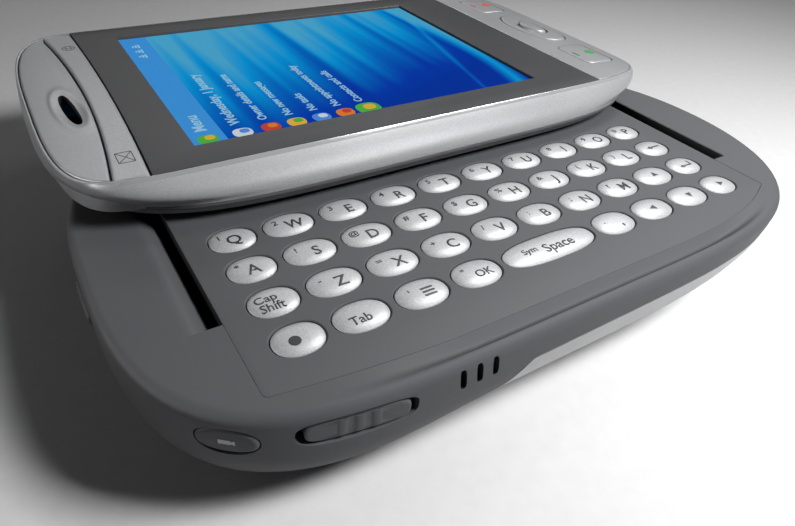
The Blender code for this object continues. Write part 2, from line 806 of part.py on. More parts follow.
def display_panel(finish):
    """The display module, with its glass standing up into the surround's window."""
    panel = screen_box("display_panel", DISPLAY_MARGIN, *DISPLAY_Z, finish)
    middle_z = (DISPLAY_Z[0] + DISPLAY_Z[1]) / 2
    combine(panel, screen_box("glass", -GAP, middle_z, GLASS_Z), "UNION")
    tidy(panel)
    return panel


def application_rocker(finish):
    rocker = bowed_plate(
        "application_rocker",
        BAND_X + GAP,
        BAND_BOW,
        BEZEL_X - GAP,
        BEZEL_BOW,
        WINDOW_Y - PLATE_MARGIN,
        CONTROL_Z,
        TOP_Z,
        finish,
    )
    drop_ends(rocker)
    set_origin(rocker, Vector((ROCKER_HINGE_X, SLIDER_Y, HINGE_Z)))
    return rocker


def navigation_pad(finish):
    """The oval rocking ring round the centre key."""
    wide, tall = NAV_HALF
    loops = [
        oval(wide, tall, NAV_CURVE, CONTROL_Z, NAV_STEPS),
        oval(wide, tall, NAV_CURVE, TOP_Z, NAV_STEPS),
        oval(wide - NAV_EDGE, tall - NAV_EDGE, NAV_CURVE, TOP_Z + NAV_RISE, NAV_STEPS),
    ]
    pad = loft("navigation_pad", loops, finish, NAV_AT)
    wide, tall = NAV_CENTRE_HALF[0] + GAP, NAV_CENTRE_HALF[1] + GAP
    hole = [oval(wide, tall, NAV_CURVE, z, CONTROL_STEPS) for z in CUT_Z]
    combine(pad, loft("hole", hole, None, NAV_AT))
    tidy(pad)
    drop_ends(pad)
    set_origin(pad, NAV_AT + Vector((0, 0, HINGE_Z)))
    return pad


def raised_key(name, middle, half, power, rise, finish):
    """A key on the top with a softened edge."""
    top = TOP_Z + rise
    loops = [
        oval(*half, power, CONTROL_Z, CONTROL_STEPS),
        oval(*half, power, top - GAP, CONTROL_STEPS),
        oval(half[0] - KEY_BORDER, half[1] - KEY_BORDER, power, top, CONTROL_STEPS),
    ]
    key = loft(name, loops, finish, middle)
    drop_ends(key)
    set_origin(key, middle + Vector((0, 0, HINGE_Z)))
    smooth(key)
    return key


def earpiece_speaker(finish):
    return box("earpiece_speaker", SPEAKER_LOW, SPEAKER_HIGH, finish)


def main():
    for old in list(bpy.data.objects):
        bpy.data.objects.remove(old)

    dark = material("dark_grey", (0.12, 0.123, 0.13), 0.5)
    silver = material("silver_paint", (0.52, 0.53, 0.55), 0.32, 0.6)
    key_finish = material("key_silver", (0.62, 0.63, 0.65), 0.4)
    surround = material("surround_grey", (0.07, 0.072, 0.075), 0.42)
    glass = material("screen_blue", (0.02, 0.22, 0.6), 0.1)
    rubber = material("rubber", (0.09, 0.09, 0.09), 0.8)
    board = material("board_green", (0.03, 0.16, 0.07), 0.5)
    black = material("black_plastic", (0.02, 0.02, 0.022), 0.4)
    clear = material("lens_glass", (0.03, 0.03, 0.04), 0.05)

    base_housing(dark)
    battery_cover(silver)
    battery_pack(black)
    main_board(board)
    keypad_mat(rubber)
    keys(key_finish)
    camera_window(clear)
    wall_button("volume_slider", *VOLUME_AT, VOLUME_KNOB_HALF, SLOT_CURVE, VOLUME_PROUD, dark)
    wall_button("record_button", *RECORD_AT, RECORD_HALF, RECORD_CURVE, BUTTON_PROUD, dark)
    wall_button("camera_button", *CAMERA_KEY_AT, CAMERA_KEY_HALF, SLOT_CURVE, BUTTON_PROUD, silver)
    wall_button("power_button", *POWER_AT, POWER_HALF, SLOT_CURVE, BUTTON_PROUD, dark)
    stylus(dark)

    slider_housing(silver)
    slider_plate(dark)
    screen_bezel(surround)
    display_panel(glass)
    earpiece_speaker(black)
    application_rocker(silver)
    navigation_pad(silver)
    raised_key(
        "navigation_centre", NAV_AT, NAV_CENTRE_HALF, NAV_CURVE, NAV_CENTRE_RISE, silver
    )
    for name, side in (("talk_key", -1), ("end_key", 1)):
        middle = Vector((CALL_X, SLIDER_Y + side * CALL_Y, 0))
        raised_key(name, middle, CALL_HALF, CALL_CURVE, CALL_RISE, silver)


main()
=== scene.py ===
"""The looks of the sliding personal digital assistant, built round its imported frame."""

import math

import bmesh
import bpy
import numpy as np
from mathutils import Matrix, Vector


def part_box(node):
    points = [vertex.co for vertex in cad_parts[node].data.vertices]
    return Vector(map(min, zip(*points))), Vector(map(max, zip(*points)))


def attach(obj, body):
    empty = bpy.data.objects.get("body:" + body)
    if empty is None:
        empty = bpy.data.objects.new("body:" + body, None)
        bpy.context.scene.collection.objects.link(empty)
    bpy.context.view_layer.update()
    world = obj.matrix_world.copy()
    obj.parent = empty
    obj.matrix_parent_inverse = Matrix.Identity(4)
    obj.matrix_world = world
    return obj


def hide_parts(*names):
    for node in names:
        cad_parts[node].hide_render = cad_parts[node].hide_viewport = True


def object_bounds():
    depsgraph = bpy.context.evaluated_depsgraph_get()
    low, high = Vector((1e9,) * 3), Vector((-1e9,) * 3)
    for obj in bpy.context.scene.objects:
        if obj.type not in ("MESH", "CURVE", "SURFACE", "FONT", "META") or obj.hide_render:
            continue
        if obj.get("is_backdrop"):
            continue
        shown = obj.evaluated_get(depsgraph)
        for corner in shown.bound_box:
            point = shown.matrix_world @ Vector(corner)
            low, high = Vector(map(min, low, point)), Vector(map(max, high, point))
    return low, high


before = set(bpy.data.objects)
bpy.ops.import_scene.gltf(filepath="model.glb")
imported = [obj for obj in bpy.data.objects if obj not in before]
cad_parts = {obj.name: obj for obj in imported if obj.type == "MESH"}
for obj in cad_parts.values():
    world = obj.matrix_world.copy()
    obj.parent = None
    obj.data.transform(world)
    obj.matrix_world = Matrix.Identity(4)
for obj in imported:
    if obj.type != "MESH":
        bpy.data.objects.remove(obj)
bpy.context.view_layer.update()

MM = 0.001
HAIR = 0.12 * MM                # a fine seam between fitted pieces


def mm(*values):
    """Lengths or a place, given in millimetres."""
    return tuple(value * MM for value in values)


# ---- places read from the frame


def middle(node):
    low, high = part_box(node)
    return (low + high) / 2


BASE_Y = middle("base_housing").y
SLIDER_Y = middle("slider_housing").y
DECK_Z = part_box("base_housing")[1].z
TOP_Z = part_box("screen_bezel")[1].z
HOUSING_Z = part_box("slider_housing")[0].z
HALF_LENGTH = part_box("base_housing")[1].x - 0.03 * MM
HALF_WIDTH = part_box("base_housing")[1].y - BASE_Y - 0.03 * MM

LEFT_CURVE = (5.5, 3.0)
RIGHT_CURVE = (4.4, 2.1)
RIGHT_LOW_CURVE = (3.0, 1.9)
SLIDER_RIGHT_CURVE = (5.5, 2.0)
TOP_LEFT_CURVE = (20.0, 3.2)
TOP_RIGHT_CURVE = (10.0, 4.0)
BELLY_LEFT, BELLY_RIGHT = mm(11.0, 13.2)
BELLY_TURN_X, BELLY_TURN_LENGTH = mm(-38.0, 23.0)
OUTLINE_STEPS = 240

SCREEN_X = middle("display_panel").x
SCREEN_HALF = mm(28.45, 21.34)
GLASS_Z = TOP_Z - 0.45 * MM
PANEL_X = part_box("screen_bezel")[1].x
BAND_X, BEZEL_X = mm(-44.05, -40.8)
BAND_BOW = 2.76
BEZEL_BOW = 0.96
WINDOW_HALF = 26.45 * MM
END_DROP = 1.3 * MM
DROP_START_LEFT, DROP_START_RIGHT = mm(-43.5, 38.5)
DROP_LENGTH = 9.0 * MM

SLOT_LEFT = mm(-44.2, -41.0)
SLOT_RIGHT = mm(40.1, 42.1)
SLOT_NEAR, SLOT_FAR = mm(-30.2, 6.4)
SLOT_WIDTH = 1.0 * MM
SLOT_FLOOR = 13.5 * MM
THROUGH = mm(18, 25)     # heights of every tool that cuts through the top pieces

# ---- mesh tools


def link(name, mesh_data):
    made = bpy.data.objects.new(name, mesh_data)
    bpy.context.scene.collection.objects.link(made)
    return made


def from_faces(name, points, faces):
    """A mesh object with its faces looking out."""
    mesh_data = bpy.data.meshes.new(name)
    mesh_data.from_pydata([tuple(point) for point in points], [], faces)
    bm = bmesh.new()
    bm.from_mesh(mesh_data)
    bmesh.ops.recalc_face_normals(bm, faces=bm.faces)
    if bm.calc_volume(signed=True) < 0:
        bmesh.ops.reverse_faces(bm, faces=bm.faces)
    bm.to_mesh(mesh_data)
    bm.free()
    return link(name, mesh_data)


def loft_data(loops, start=0, closed=False):
    """Points and faces of a stack of equal rings; closed joins the last ring to the first."""
    count = len(loops[0])
    points = [point for loop in loops for point in loop]
    faces = []
    for lower in range(len(loops) if closed else len(loops) - 1):
        low, high = lower * count, (lower + 1) % len(loops) * count
        for index in range(count):
            following = (index + 1) % count
            corners = (low + index, low + following, high + following, high + index)
            faces.append(tuple(start + corner for corner in corners))
    if not closed:
        faces.append(tuple(start + index for index in reversed(range(count))))
        faces.append(tuple(start + (len(loops) - 1) * count + index for index in range(count)))
    return points, faces


def loft(name, loops, closed=False):
    return from_faces(name, *loft_data(loops, 0, closed))


def many_lofts(name, stacks):
    points, faces = [], []
    for loops in stacks:
        more_points, more_faces = loft_data(loops, len(points))
        points += more_points
        faces += more_faces
    return from_faces(name, points, faces)


def level(z, plan):
    """A ring of points at one height over a plan."""
    return [Vector((x, y, z)) for x, y in plan]


def mesh_of(name, bm):
    mesh_data = bpy.data.meshes.new(name)
    bm.to_mesh(mesh_data)
    bm.free()
    return mesh_data


def evaluated(holder):
    """A new mesh with what an object's modifiers or outlines make."""
    bpy.context.view_layer.update()
    return bpy.data.meshes.new_from_object(
        holder.evaluated_get(bpy.context.evaluated_depsgraph_get())
    )


def box_loops(low, high):
    corners = [(low[0], low[1]), (high[0], low[1]), (high[0], high[1]), (low[0], high[1])]
    return [level(z, corners) for z in (low[2], high[2])]


def combine(target, tool, operation="DIFFERENCE"):
    modifier = target.modifiers.new("combine", "BOOLEAN")
    modifier.operation = operation
    modifier.object = tool
    result = evaluated(target)
    target.modifiers.clear()
    old = target.data
    target.data = result
    bpy.data.meshes.remove(old)
    bpy.data.objects.remove(tool)
    return target


def smooth(target, degrees=32):
    target.data.shade_smooth()
    target.data.set_sharp_from_angle(angle=math.radians(degrees))
    return target


def superellipse(directions, half_x, half_y, powers):
    """Distances from the middle to the outline along many directions, by bisection."""
    low = np.zeros_like(directions)
    high = np.zeros_like(directions) + half_x + half_y
    for _ in range(45):
        guess = (low + high) / 2
        reach = (
            np.abs(guess * np.cos(directions) / half_x) ** powers[0]
            + np.abs(guess * np.sin(directions) / half_y) ** powers[1]
        )
        inside = reach < 1
        low = np.where(inside, guess, low)
        high = np.where(inside, high, guess)
    return low


def outline_directions(count=OUTLINE_STEPS):
    """Directions that are even along the sides and close together round the corners."""
    turn = 2 * np.pi * (np.arange(count) + 0.5) / count
    x = HALF_LENGTH * np.sign(np.cos(turn)) * np.abs(np.cos(turn)) ** (2 / LEFT_CURVE[0])
    y = HALF_WIDTH * np.sign(np.sin(turn)) * np.abs(np.sin(turn)) ** (2 / LEFT_CURVE[1])
    corner = np.arctan2(y, x)
    even = np.arctan2(HALF_WIDTH * np.sin(turn), HALF_LENGTH * np.cos(turn))
    return (corner + even) / 2


DIRECTIONS = outline_directions()


def outline_ring(radius, middle_y, heights):
    """Points at given distances along the outline's directions."""
    xs = radius * np.cos(DIRECTIONS)
    ys = radius * np.sin(DIRECTIONS) + middle_y
    return [Vector(point) for point in zip(xs, ys, np.zeros_like(xs) + heights)]


def plan_loop(z, left, right, side, share=0.0):
    """The screen half's outline at one height, moved in by left, right and side."""
    left_powers = blend_pair(LEFT_CURVE, TOP_LEFT_CURVE, share)
    right_powers = blend_pair(SLIDER_RIGHT_CURVE, TOP_RIGHT_CURVE, share)
    left_radius = superellipse(DIRECTIONS, HALF_LENGTH - left, HALF_WIDTH - side, left_powers)
    right_radius = superellipse(DIRECTIONS, HALF_LENGTH - right, HALF_WIDTH - side, right_powers)
    radius = np.where(np.cos(DIRECTIONS) < 0, left_radius, right_radius)
    return outline_ring(radius, SLIDER_Y, z)


def blend_pair(first, second, share):
    return tuple(a * (1 - share) + b * share for a, b in zip(first, second))


def oval(half, power, z, steps=64, at=(0.0, 0.0), grow=0.0, scale=1.0):
    """A superellipse ring round a place, with its half sizes grown and then scaled."""
    loop = []
    for step in range(steps):
        turn = 2 * math.pi * (step + 0.5) / steps
        cosine, sine = math.cos(turn), math.sin(turn)
        x = (half[0] + grow) * scale * math.copysign(abs(cosine) ** (2 / power), cosine)
        y = (half[1] + grow) * scale * math.copysign(abs(sine) ** (2 / power), sine)
        loop.append(Vector((at[0] + x, at[1] + y, z)))
    return loop


def rounded(edge, top, steps):
    """(inset, height) pairs up a rounded border."""
    turns = [math.radians(90 * step / steps) for step in range(steps + 1)]
    return [(edge * (1 - math.cos(turn)), top - edge * (1 - math.sin(turn))) for turn in turns]


def ease(value):
    value = min(1.0, max(0.0, value))
    return value * value * (3 - 2 * value)


def end_drop(x):
    """How far the screen half's top has fallen away at one place along the length."""
    if x < DROP_START_LEFT:
        share = (DROP_START_LEFT - x) / DROP_LENGTH
    elif x > DROP_START_RIGHT:
        share = (x - DROP_START_RIGHT) / DROP_LENGTH
    else:
        return 0.0
    return END_DROP * min(share, 1.2) ** 2


def drop_ends(target):
    for vertex in target.data.vertices:
        lift = (vertex.co.z - HOUSING_Z) / (TOP_Z - HOUSING_Z)
        vertex.co.z -= end_drop(vertex.co.x) * min(1.1, max(0.0, lift))


# ---- materials


def fill(node, values):
    for socket, value in values.items():
        node.inputs[socket].default_value = value


def shader_of(name, colour, roughness, metallic=0.0):
    """A new material and its Principled shader."""
    made = bpy.data.materials.new(name)
    made.use_nodes = True
    shader = made.node_tree.nodes["Principled BSDF"]
    fill(shader, {"Base Color": (*colour, 1.0), "Roughness": roughness, "Metallic": metallic})
    made.diffuse_color = (*colour, 1.0)
    return made, shader


def noise(tree, scale, detail=2.0):
    """Noise in the piece's own coordinates."""
    coordinates = tree.nodes.new("ShaderNodeTexCoord")
    texture = tree.nodes.new("ShaderNodeTexNoise")
    fill(texture, {"Scale": scale, "Detail": detail})
    tree.links.new(coordinates.outputs["Object"], texture.inputs["Vector"])
    return texture


def ramp(tree, source, *stops):
    """Colours or greys spread over part of a texture's range."""
    node = tree.nodes.new("ShaderNodeValToRGB")
    elements = node.color_ramp.elements
    while len(elements) < len(stops):
        elements.new(0.5)
    for element, (position, colour) in zip(elements, stops):
        element.position = position
        element.color = (*colour, 1.0)
    tree.links.new(source, node.inputs["Fac"])
    return node.outputs["Color"]


def bump(tree, shader, source, distance):
    node = tree.nodes.new("ShaderNodeBump")
    fill(node, {"Distance": distance, "Strength": 1.0})
    tree.links.new(source, node.inputs["Height"])
    tree.links.new(node.outputs["Normal"], shader.inputs["Normal"])


def grained(name, colour, roughness, metallic, grain_scale, grain_depth, spread, flecks=0.0, level=0.5):
    """A moulded or painted finish: fine grain, slow colour drift and slight gloss change."""
    made, shader = shader_of(name, colour, roughness, metallic)
    shader.inputs["Specular IOR Level"].default_value = level
    tree = made.node_tree
    fine = noise(tree, grain_scale, 3.0)
    slow = noise(tree, 60.0, 3.0)
    mixer = tree.nodes.new("ShaderNodeMix")
    mixer.data_type = "FLOAT"
    mixer.inputs["Factor"].default_value = 0.5 + flecks / 2
    tree.links.new(slow.outputs["Fac"], mixer.inputs["A"])
    tree.links.new(fine.outputs["Fac"], mixer.inputs["B"])
    dark = tuple(value * (1 - spread) for value in colour)
    light = tuple(min(1.0, value * (1 + spread)) for value in colour)
    tint = ramp(tree, mixer.outputs["Result"], (0.35, dark), (0.65, light))
    tree.links.new(tint, shader.inputs["Base Color"])
    smoother, rougher = (roughness - 0.03,) * 3, (roughness + 0.03,) * 3
    gloss = ramp(tree, slow.outputs["Fac"], (0.3, smoother), (0.7, rougher))
    tree.links.new(gloss, shader.inputs["Roughness"])
    bump(tree, shader, fine.outputs["Fac"], grain_depth * MM)
    return made


# Look: material name, colour, roughness, metallic, grain scale, grain depth in mm, spread,
# then for some the share of flecks and the specular level.
FINISHES = {
    "dark": ("dark_grey_plastic", (0.069, 0.0707, 0.0755), 0.58, 0.0, 6000, 0.006, 0.05, 0.0, 0.22),
    "silver": ("silver_paint", (0.31, 0.313, 0.322), 0.36, 0.25, 5200, 0.008, 0.09, 0.7),
    "key": ("key_pearl", (0.365, 0.369, 0.376), 0.42, 0.2, 5200, 0.006, 0.13, 0.8),
    "lip": ("lip_grey", (0.105, 0.106, 0.110), 0.5, 0.0, 6000, 0.004, 0.05),
    # the silver edge is glossier than the silver, and its lighter colour is a painted highlight
    "silver_edge": ("silver_edge", (0.36, 0.363, 0.37), 0.16, 0.35, 8000, 0.002, 0.03),
    "surround": ("surround_grey", (0.056, 0.057, 0.059), 0.4, 0.0, 6500, 0.004, 0.06, 0.0, 0.12),
    # black is the real black of some inner parts and also the painted shade put in unlit hollows
    "black": ("black_plastic", (0.012, 0.012, 0.013), 0.5, 0.0, 5000, 0.004, 0.2),
    "ink": ("legend_ink", (0.018, 0.019, 0.021), 0.45, 0.0, 5000, 0.002, 0.2),
    "pale_ink": ("pale_ink", (0.42, 0.43, 0.45), 0.45, 0.0, 5000, 0.002, 0.1),
    "green_ink": ("green_ink", (0.03, 0.28, 0.05), 0.45, 0.0, 5000, 0.002, 0.2),
    "red_ink": ("red_ink", (0.6, 0.06, 0.06), 0.45, 0.0, 5000, 0.002, 0.2),
    "plate_grey": ("plate_grey", (0.26, 0.262, 0.27), 0.5, 0.1, 5200, 0.006, 0.06),
    "rubber": ("rubber_mat", (0.05, 0.05, 0.052), 0.7, 0.0, 4000, 0.004, 0.1),
    "board": ("board_green", (0.02, 0.11, 0.05), 0.4, 0.0, 2500, 0.004, 0.15),
}
MATERIAL = {look: grained(*values) for look, values in FINISHES.items()}


def finish(piece, material_name, body, slot, *nodes):
    """Dress a piece, hang it on its body and hide the CAD nodes it stands for."""
    piece.data.materials.clear()
    piece.data.materials.append(MATERIAL[material_name])
    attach(piece, body)
    if nodes:
        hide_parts(*nodes)
    return piece


# ---- keyboard half


def base_loop(inset, height):
    """The keyboard half's outline, moved in by insets at heights that may differ all round."""
    share = np.clip(np.zeros_like(DIRECTIONS) + height / DECK_Z, 0.0, 1.0)
    leftward = np.cos(DIRECTIONS) < 0
    powers = [
        np.where(leftward, left, low * (1 - share) + high * share)
        for left, low, high in zip(LEFT_CURVE, RIGHT_LOW_CURVE, RIGHT_CURVE)
    ]
    radius = superellipse(DIRECTIONS, HALF_LENGTH - inset, HALF_WIDTH - inset, powers)
    return outline_ring(radius, BASE_Y, height)


def belly_loops(inward, top, steps=14):
    turned = [ease((point.x - BELLY_TURN_X) / BELLY_TURN_LENGTH) for point in base_loop(0.0, DECK_Z)]
    belly = BELLY_LEFT + (BELLY_RIGHT - BELLY_LEFT) * np.array(turned)
    loops = []
    for step in range(steps + 1):
        turn = math.radians(90 * (1 - step / steps))
        inset = belly - (belly - inward) * math.cos(turn)
        height = belly - (belly - inward) * math.sin(turn)
        loops.append(base_loop(inset, np.minimum(height, top - 0.02 * MM)))
    loops.append(base_loop(inward, top))
    return loops


RIM_ROUND = 1.15 * MM
RIM_Z = DECK_Z
FIELD_Z = DECK_Z - 0.03 * MM     # the keyboard field lies a hair lower than the deck round it
GROOVE_DEPTH = 0.75 * MM


def outer_loops():
    loops = belly_loops(0.0, RIM_Z - RIM_ROUND)
    for inset, height in rounded(RIM_ROUND, RIM_Z, 8)[1:]:
        loops.append(base_loop(inset, height))
    return loops


def groove_loops():
    """Deck rings inside the rim: a shallow groove follows the near edge and fades out at the left."""
    loops = []
    for inset, depth in (
        (1.3, 0.0), (1.5, 0.15), (1.75, 0.6), (2.0, 0.9), (2.3, 1.0),
        (2.6, 0.9), (3.2, 0.4), (3.8, 0.0), (6.0, 0.0),
    ):
        loop = base_loop(inset * MM, RIM_Z)
        for point in loop:
            near = ease((BASE_Y - 18 * MM - point.y) / (6 * MM))
            along = ease((point.x + 36 * MM) / (20 * MM)) * ease((38 * MM - point.x) / (20 * MM))
            point.z -= GROOVE_DEPTH * depth * near * along
        loops.append(loop)
    return loops


def cover_prism(clearance):
    """The region below the S-curved edge where the battery cover wraps the keyboard half."""
    start, crest = mm(-19.0, -12.0)
    low_z, high_z, end_z = mm(2.0, 11.7, 13.2)
    reach = 70 * MM
    steps = 24
    profile = [(start - clearance, -2 * MM), (start - clearance, low_z)]
    for step in range(1, steps + 1):
        share = step / steps
        x = start + (crest - start) * share
        profile.append((x - clearance, low_z + (high_z - low_z) * ease(share) + clearance))
    profile.append((reach, end_z + clearance))
    profile.append((reach, -2 * MM))
    loops = [[Vector((x, y, z)) for x, z in profile] for y in (-reach, reach)]
    return loft("cover_region", loops)


def prism_y(name, profile, near, far):
    return loft(name, [[Vector((x, y, z)) for x, z in profile] for y in (near, far)])


# The field that carries the keys
FIELD_LEFT = SLOT_LEFT[1]
FIELD_RIGHT = 39.65 * MM
FIELD_NEAR, FIELD_FAR = mm(-43.0, 2.0)
FIELD_CORNER = 0.7 * MM


def left_slot_tool():
    """The left rail slot: a curved ramp down to a narrow open part."""
    outer_x, inner_x = SLOT_LEFT
    through_x = inner_x - SLOT_WIDTH
    above = DECK_Z + 1.0 * MM
    profile = [(outer_x - 0.8 * MM, above), (outer_x - 0.8 * MM, RIM_Z + 0.02 * MM)]
    for step in range(9):
        share = step / 8
        x = outer_x + (through_x - outer_x) * share
        profile.append((x, RIM_Z - 0.04 * MM + (SLOT_FLOOR - RIM_Z) * share ** 1.7))
    profile += [(through_x, 10.0 * MM), (inner_x, 10.0 * MM), (inner_x, above)]
    return prism_y("left_slot_tool", profile, SLOT_NEAR, SLOT_FAR)


def right_slot_tool():
    """The right rail slot, straight down from the field's edge, with a softened outer edge."""
    low_x, high_x = FIELD_RIGHT - 0.5 * MM, SLOT_RIGHT[1] + 0.2 * MM
    edge = 0.12 * MM
    above = DECK_Z + 1.0 * MM
    profile = [
        (low_x, above), (low_x, 10.0 * MM), (high_x, 10.0 * MM),
        (high_x, DECK_Z - edge), (high_x + edge, DECK_Z), (high_x + edge, above),
    ]
    return prism_y("right_slot_tool", profile, SLOT_NEAR, SLOT_FAR)


def paint_shade_black(target, low, high, sideways=0.0):
    """Paint the faces inside a box black, as painted shade in an unlit hollow; sideways keeps outer walls
    out.
    """
    if len(target.data.materials) < 2:
        target.data.materials.append(MATERIAL["black"])
    for polygon in target.data.polygons:
        centre = polygon.center
        inside = all(low[axis] < centre[axis] < high[axis] for axis in range(3))
        if inside and (sideways == 0.0 or polygon.normal.y > -1 + sideways):
            polygon.material_index = 1


def place(target, at, normal_degrees):
    """Turn a piece built along its own +Z so that it looks out of a wall at a point."""
    turn = Matrix.Rotation(math.radians(normal_degrees), 4, "Z")
    tip = Matrix.Rotation(math.radians(90), 4, "Y")
    spin = Matrix.Rotation(math.radians(90), 4, "Z")
    target.data.transform(Matrix.Translation(at) @ turn @ tip @ spin)
    return target


VOLUME_AT = (Vector(mm(-33.6, -45.55, 13.0)), -99.8)
RECORD_AT = (Vector(mm(-44.95, -41.3, 12.5)), -129.3)
CAMERA_KEY_AT = (Vector(mm(-24.0, 13.62, 12.6)), 90.0)
POWER_AT = (Vector((-52.3 * MM, BASE_Y, 12.6 * MM)), 180.0)
VOLUME_HALF = mm(6.1, 1.62)
RECORD_HALF = mm(3.13, 1.73)
CAMERA_KEY_HALF = mm(4.6, 1.4)
POWER_HALF = mm(4.0, 1.3)
RECESS_DEPTH = 1.7 * MM


def recess_tool(at, normal_degrees, half, power):
    """An oval recess with a softened mouth."""
    flare = 0.15 * MM
    loops = [
        oval(half, power, z * MM, 72, grow=flare * share)
        for z, share in ((-RECESS_DEPTH / MM, 0), (-0.35, 0), (-0.05, 0.4), (0.4, 1), (6, 1))
    ]
    return place(loft("recess_tool", loops), at, normal_degrees)


def base_shell():
    """The dark lower housing with its deck rim, rail slots, recesses and sound slots."""
    shell = loft("dark_lower_shell", outer_loops() + groove_loops())
    cut = cover_prism(HAIR)
    combine(cut, loft("core", belly_loops(1.5 * MM, DECK_Z + 2 * MM)))
    combine(shell, cut)
    combine(shell, loft("cavity", belly_loops(2.8 * MM, 12.9 * MM)))
    for tool in (stylus_tool, lens_tool, socket_tool, field_tool, left_slot_tool, right_slot_tool):
        combine(shell, tool())
    for at, half, power in (
        (VOLUME_AT, VOLUME_HALF, 3.4), (RECORD_AT, RECORD_HALF, 2.2),
        (CAMERA_KEY_AT, CAMERA_KEY_HALF, 3.6), (POWER_AT, POWER_HALF, 3.6),
    ):
        combine(shell, recess_tool(*at, half, power))
    vents = []
    for x in (-22.4, -20.35, -18.3):
        ring = [
            Vector((x * MM + point.x - point.y * 0.14, 0, 13.65 * MM + point.y))
            for point in oval(mm(0.4, 1.4), 3.6, 0.0, 24)
        ]
        vents.append([[point + Vector((0, y, 0)) for point in ring] for y in mm(-50, -44.6)])
    combine(shell, many_lofts("vent_tool", vents))
    finish(smooth(shell, 25), "dark", "keyboard_half", "dark_grey", "base_housing")
    # painted shade: the insides of the rail slots and the sound slots are painted black
    near, far = SLOT_NEAR - 0.1 * MM, SLOT_FAR + MM
    paint_shade_black(shell, (FIELD_RIGHT - MM, near, 0), (SLOT_RIGHT[1] + 0.3 * MM, far, DECK_Z - 0.2 * MM))
    paint_shade_black(shell, (SLOT_LEFT[1] - SLOT_WIDTH - 0.05 * MM, near, 0), (0, far, SLOT_FLOOR))
    paint_shade_black(shell, mm(-23, -47, 11.8), mm(-17.7, -44, 15.0), 0.4)
    return shell


STYLUS = middle("stylus")


def stylus_tool():
    """A round bore from the right end, for the stylus."""
    bore = oval(mm(2.07, 2.07), 2.0, 0.0, 36)
    loops = [[Vector((x, STYLUS.y + p.x, STYLUS.z + p.y)) for p in bore] for x in mm(27.3, 60)]
    return loft("stylus_tool", loops)


def lens_tool():
    at = middle("camera_window")
    return loft("lens_tool", [oval(mm(4.3, 4.3), 2.0, z, 64, at) for z in mm(-2, 6)])


def socket_tool():
    low = (46 * MM, BASE_Y - 3.9 * MM, 12.55 * MM)
    high = (58 * MM, BASE_Y + 3.9 * MM, 14.35 * MM)
    return loft("socket_tool", box_loops(low, high))


def field_near(x):
    """The field's near edge bows away from the user towards both ends."""
    left = max(0.0, (-20 * MM - x) / (21 * MM))
    right = max(0.0, (x - 5 * MM) / (34.7 * MM))
    return FIELD_NEAR + 2.1 * MM * left ** 1.5 + 4.6 * MM * right ** 4


def field_outline(inward):
    """Plan of the keyboard field, moved in on every side but the far one."""
    left, right = FIELD_LEFT + inward, FIELD_RIGHT - inward
    corner = FIELD_CORNER
    points = [(left, FIELD_FAR)]
    for start, x in ((180, left + corner), (270, right - corner)):
        y = field_near(x) + inward + corner
        for step in range(7):
            turn = math.radians(start + 90 * step / 6)
            points.append((x + corner * math.cos(turn), y + corner * math.sin(turn)))
        if start == 180:
            for step in range(1, 40):
                along = left + corner + (right - left - 2 * corner) * step / 40
                points.append((along, field_near(along) + inward))
    points.append((right, FIELD_FAR))
    return points


def field_tool():
    """The deck's opening for the field, with a softened upper edge."""
    rows = (
        (11 * MM, 0.0), (RIM_Z - 0.08 * MM, 0.0), (RIM_Z + 0.02 * MM, 0.1 * MM), (DECK_Z + 2 * MM, 0.1 * MM),
    )
    return loft("field_tool", [level(z, field_outline(-grow)) for z, grow in rows])


KEY_NODES = sorted(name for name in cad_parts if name.startswith("key_"))


def key_shape(node):
    """Middle, half size and outline power of a key."""
    low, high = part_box(node)
    half = ((high.x - low.x) / 2, (high.y - low.y) / 2)
    power = 2.7 if node == "key_space" else 2.25
    return (low + high) / 2, half, power


def keyboard_field():
    """The raised plate with a chamfered hole round each key."""
    rows = ((-1.7, 0.0), (-0.06, 0.0), (-0.01, 0.02), (0.0, 0.06))
    sides = [level(FIELD_Z + z * MM, field_outline(inward * MM)) for z, inward in rows]
    plate = loft("dark_keyboard_field", sides)
    mouth = ((-3, 0.1), (-0.22, 0.1), (-0.1, 0.13), (-0.03, 0.19), (0.01, 0.27), (1, 0.27))
    holes = []
    for node in KEY_NODES:
        at, half, power = key_shape(node)
        holes.append([oval(half, power, FIELD_Z + z * MM, 56, at, grow * MM) for z, grow in mouth])
    combine(plate, many_lofts("hole_tool", holes))
    finish(smooth(plate, 20), "dark", "keyboard_half", "dark_grey")
    # painted shade: the field's right edge wall down into the rail slot is painted black
    paint_shade_black(plate, (FIELD_RIGHT - 0.05 * MM, SLOT_NEAR, 0), (FIELD_RIGHT + MM, SLOT_FAR, FIELD_Z - 0.1 * MM))
    return plate


def back_cover():
    cover = loft("silver_back_cover", outer_loops())
    combine(cover, cover_prism(-HAIR), "INTERSECT")
    combine(cover, loft("core", belly_loops(1.2 * MM, DECK_Z + 2 * MM)))
    combine(cover, stylus_tool())
    combine(cover, socket_tool())
    return finish(smooth(cover, 25), "silver", "battery_cover", "silver_paint", "battery_cover")


# ---- keys and their legends

KEY_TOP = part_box("key_q")[1].z
KEY_EDGE_Z = KEY_TOP - 0.45 * MM


def dome_height(offset_x, offset_y, half, power):
    """Height of a key's dome at one place."""
    reach = abs(offset_x / half[0]) ** power + abs(offset_y / half[1]) ** power
    radius = min(1.0, reach ** (1 / power))
    return KEY_EDGE_Z + (KEY_TOP - KEY_EDGE_Z) * (1 - radius ** 3.0) ** 0.75


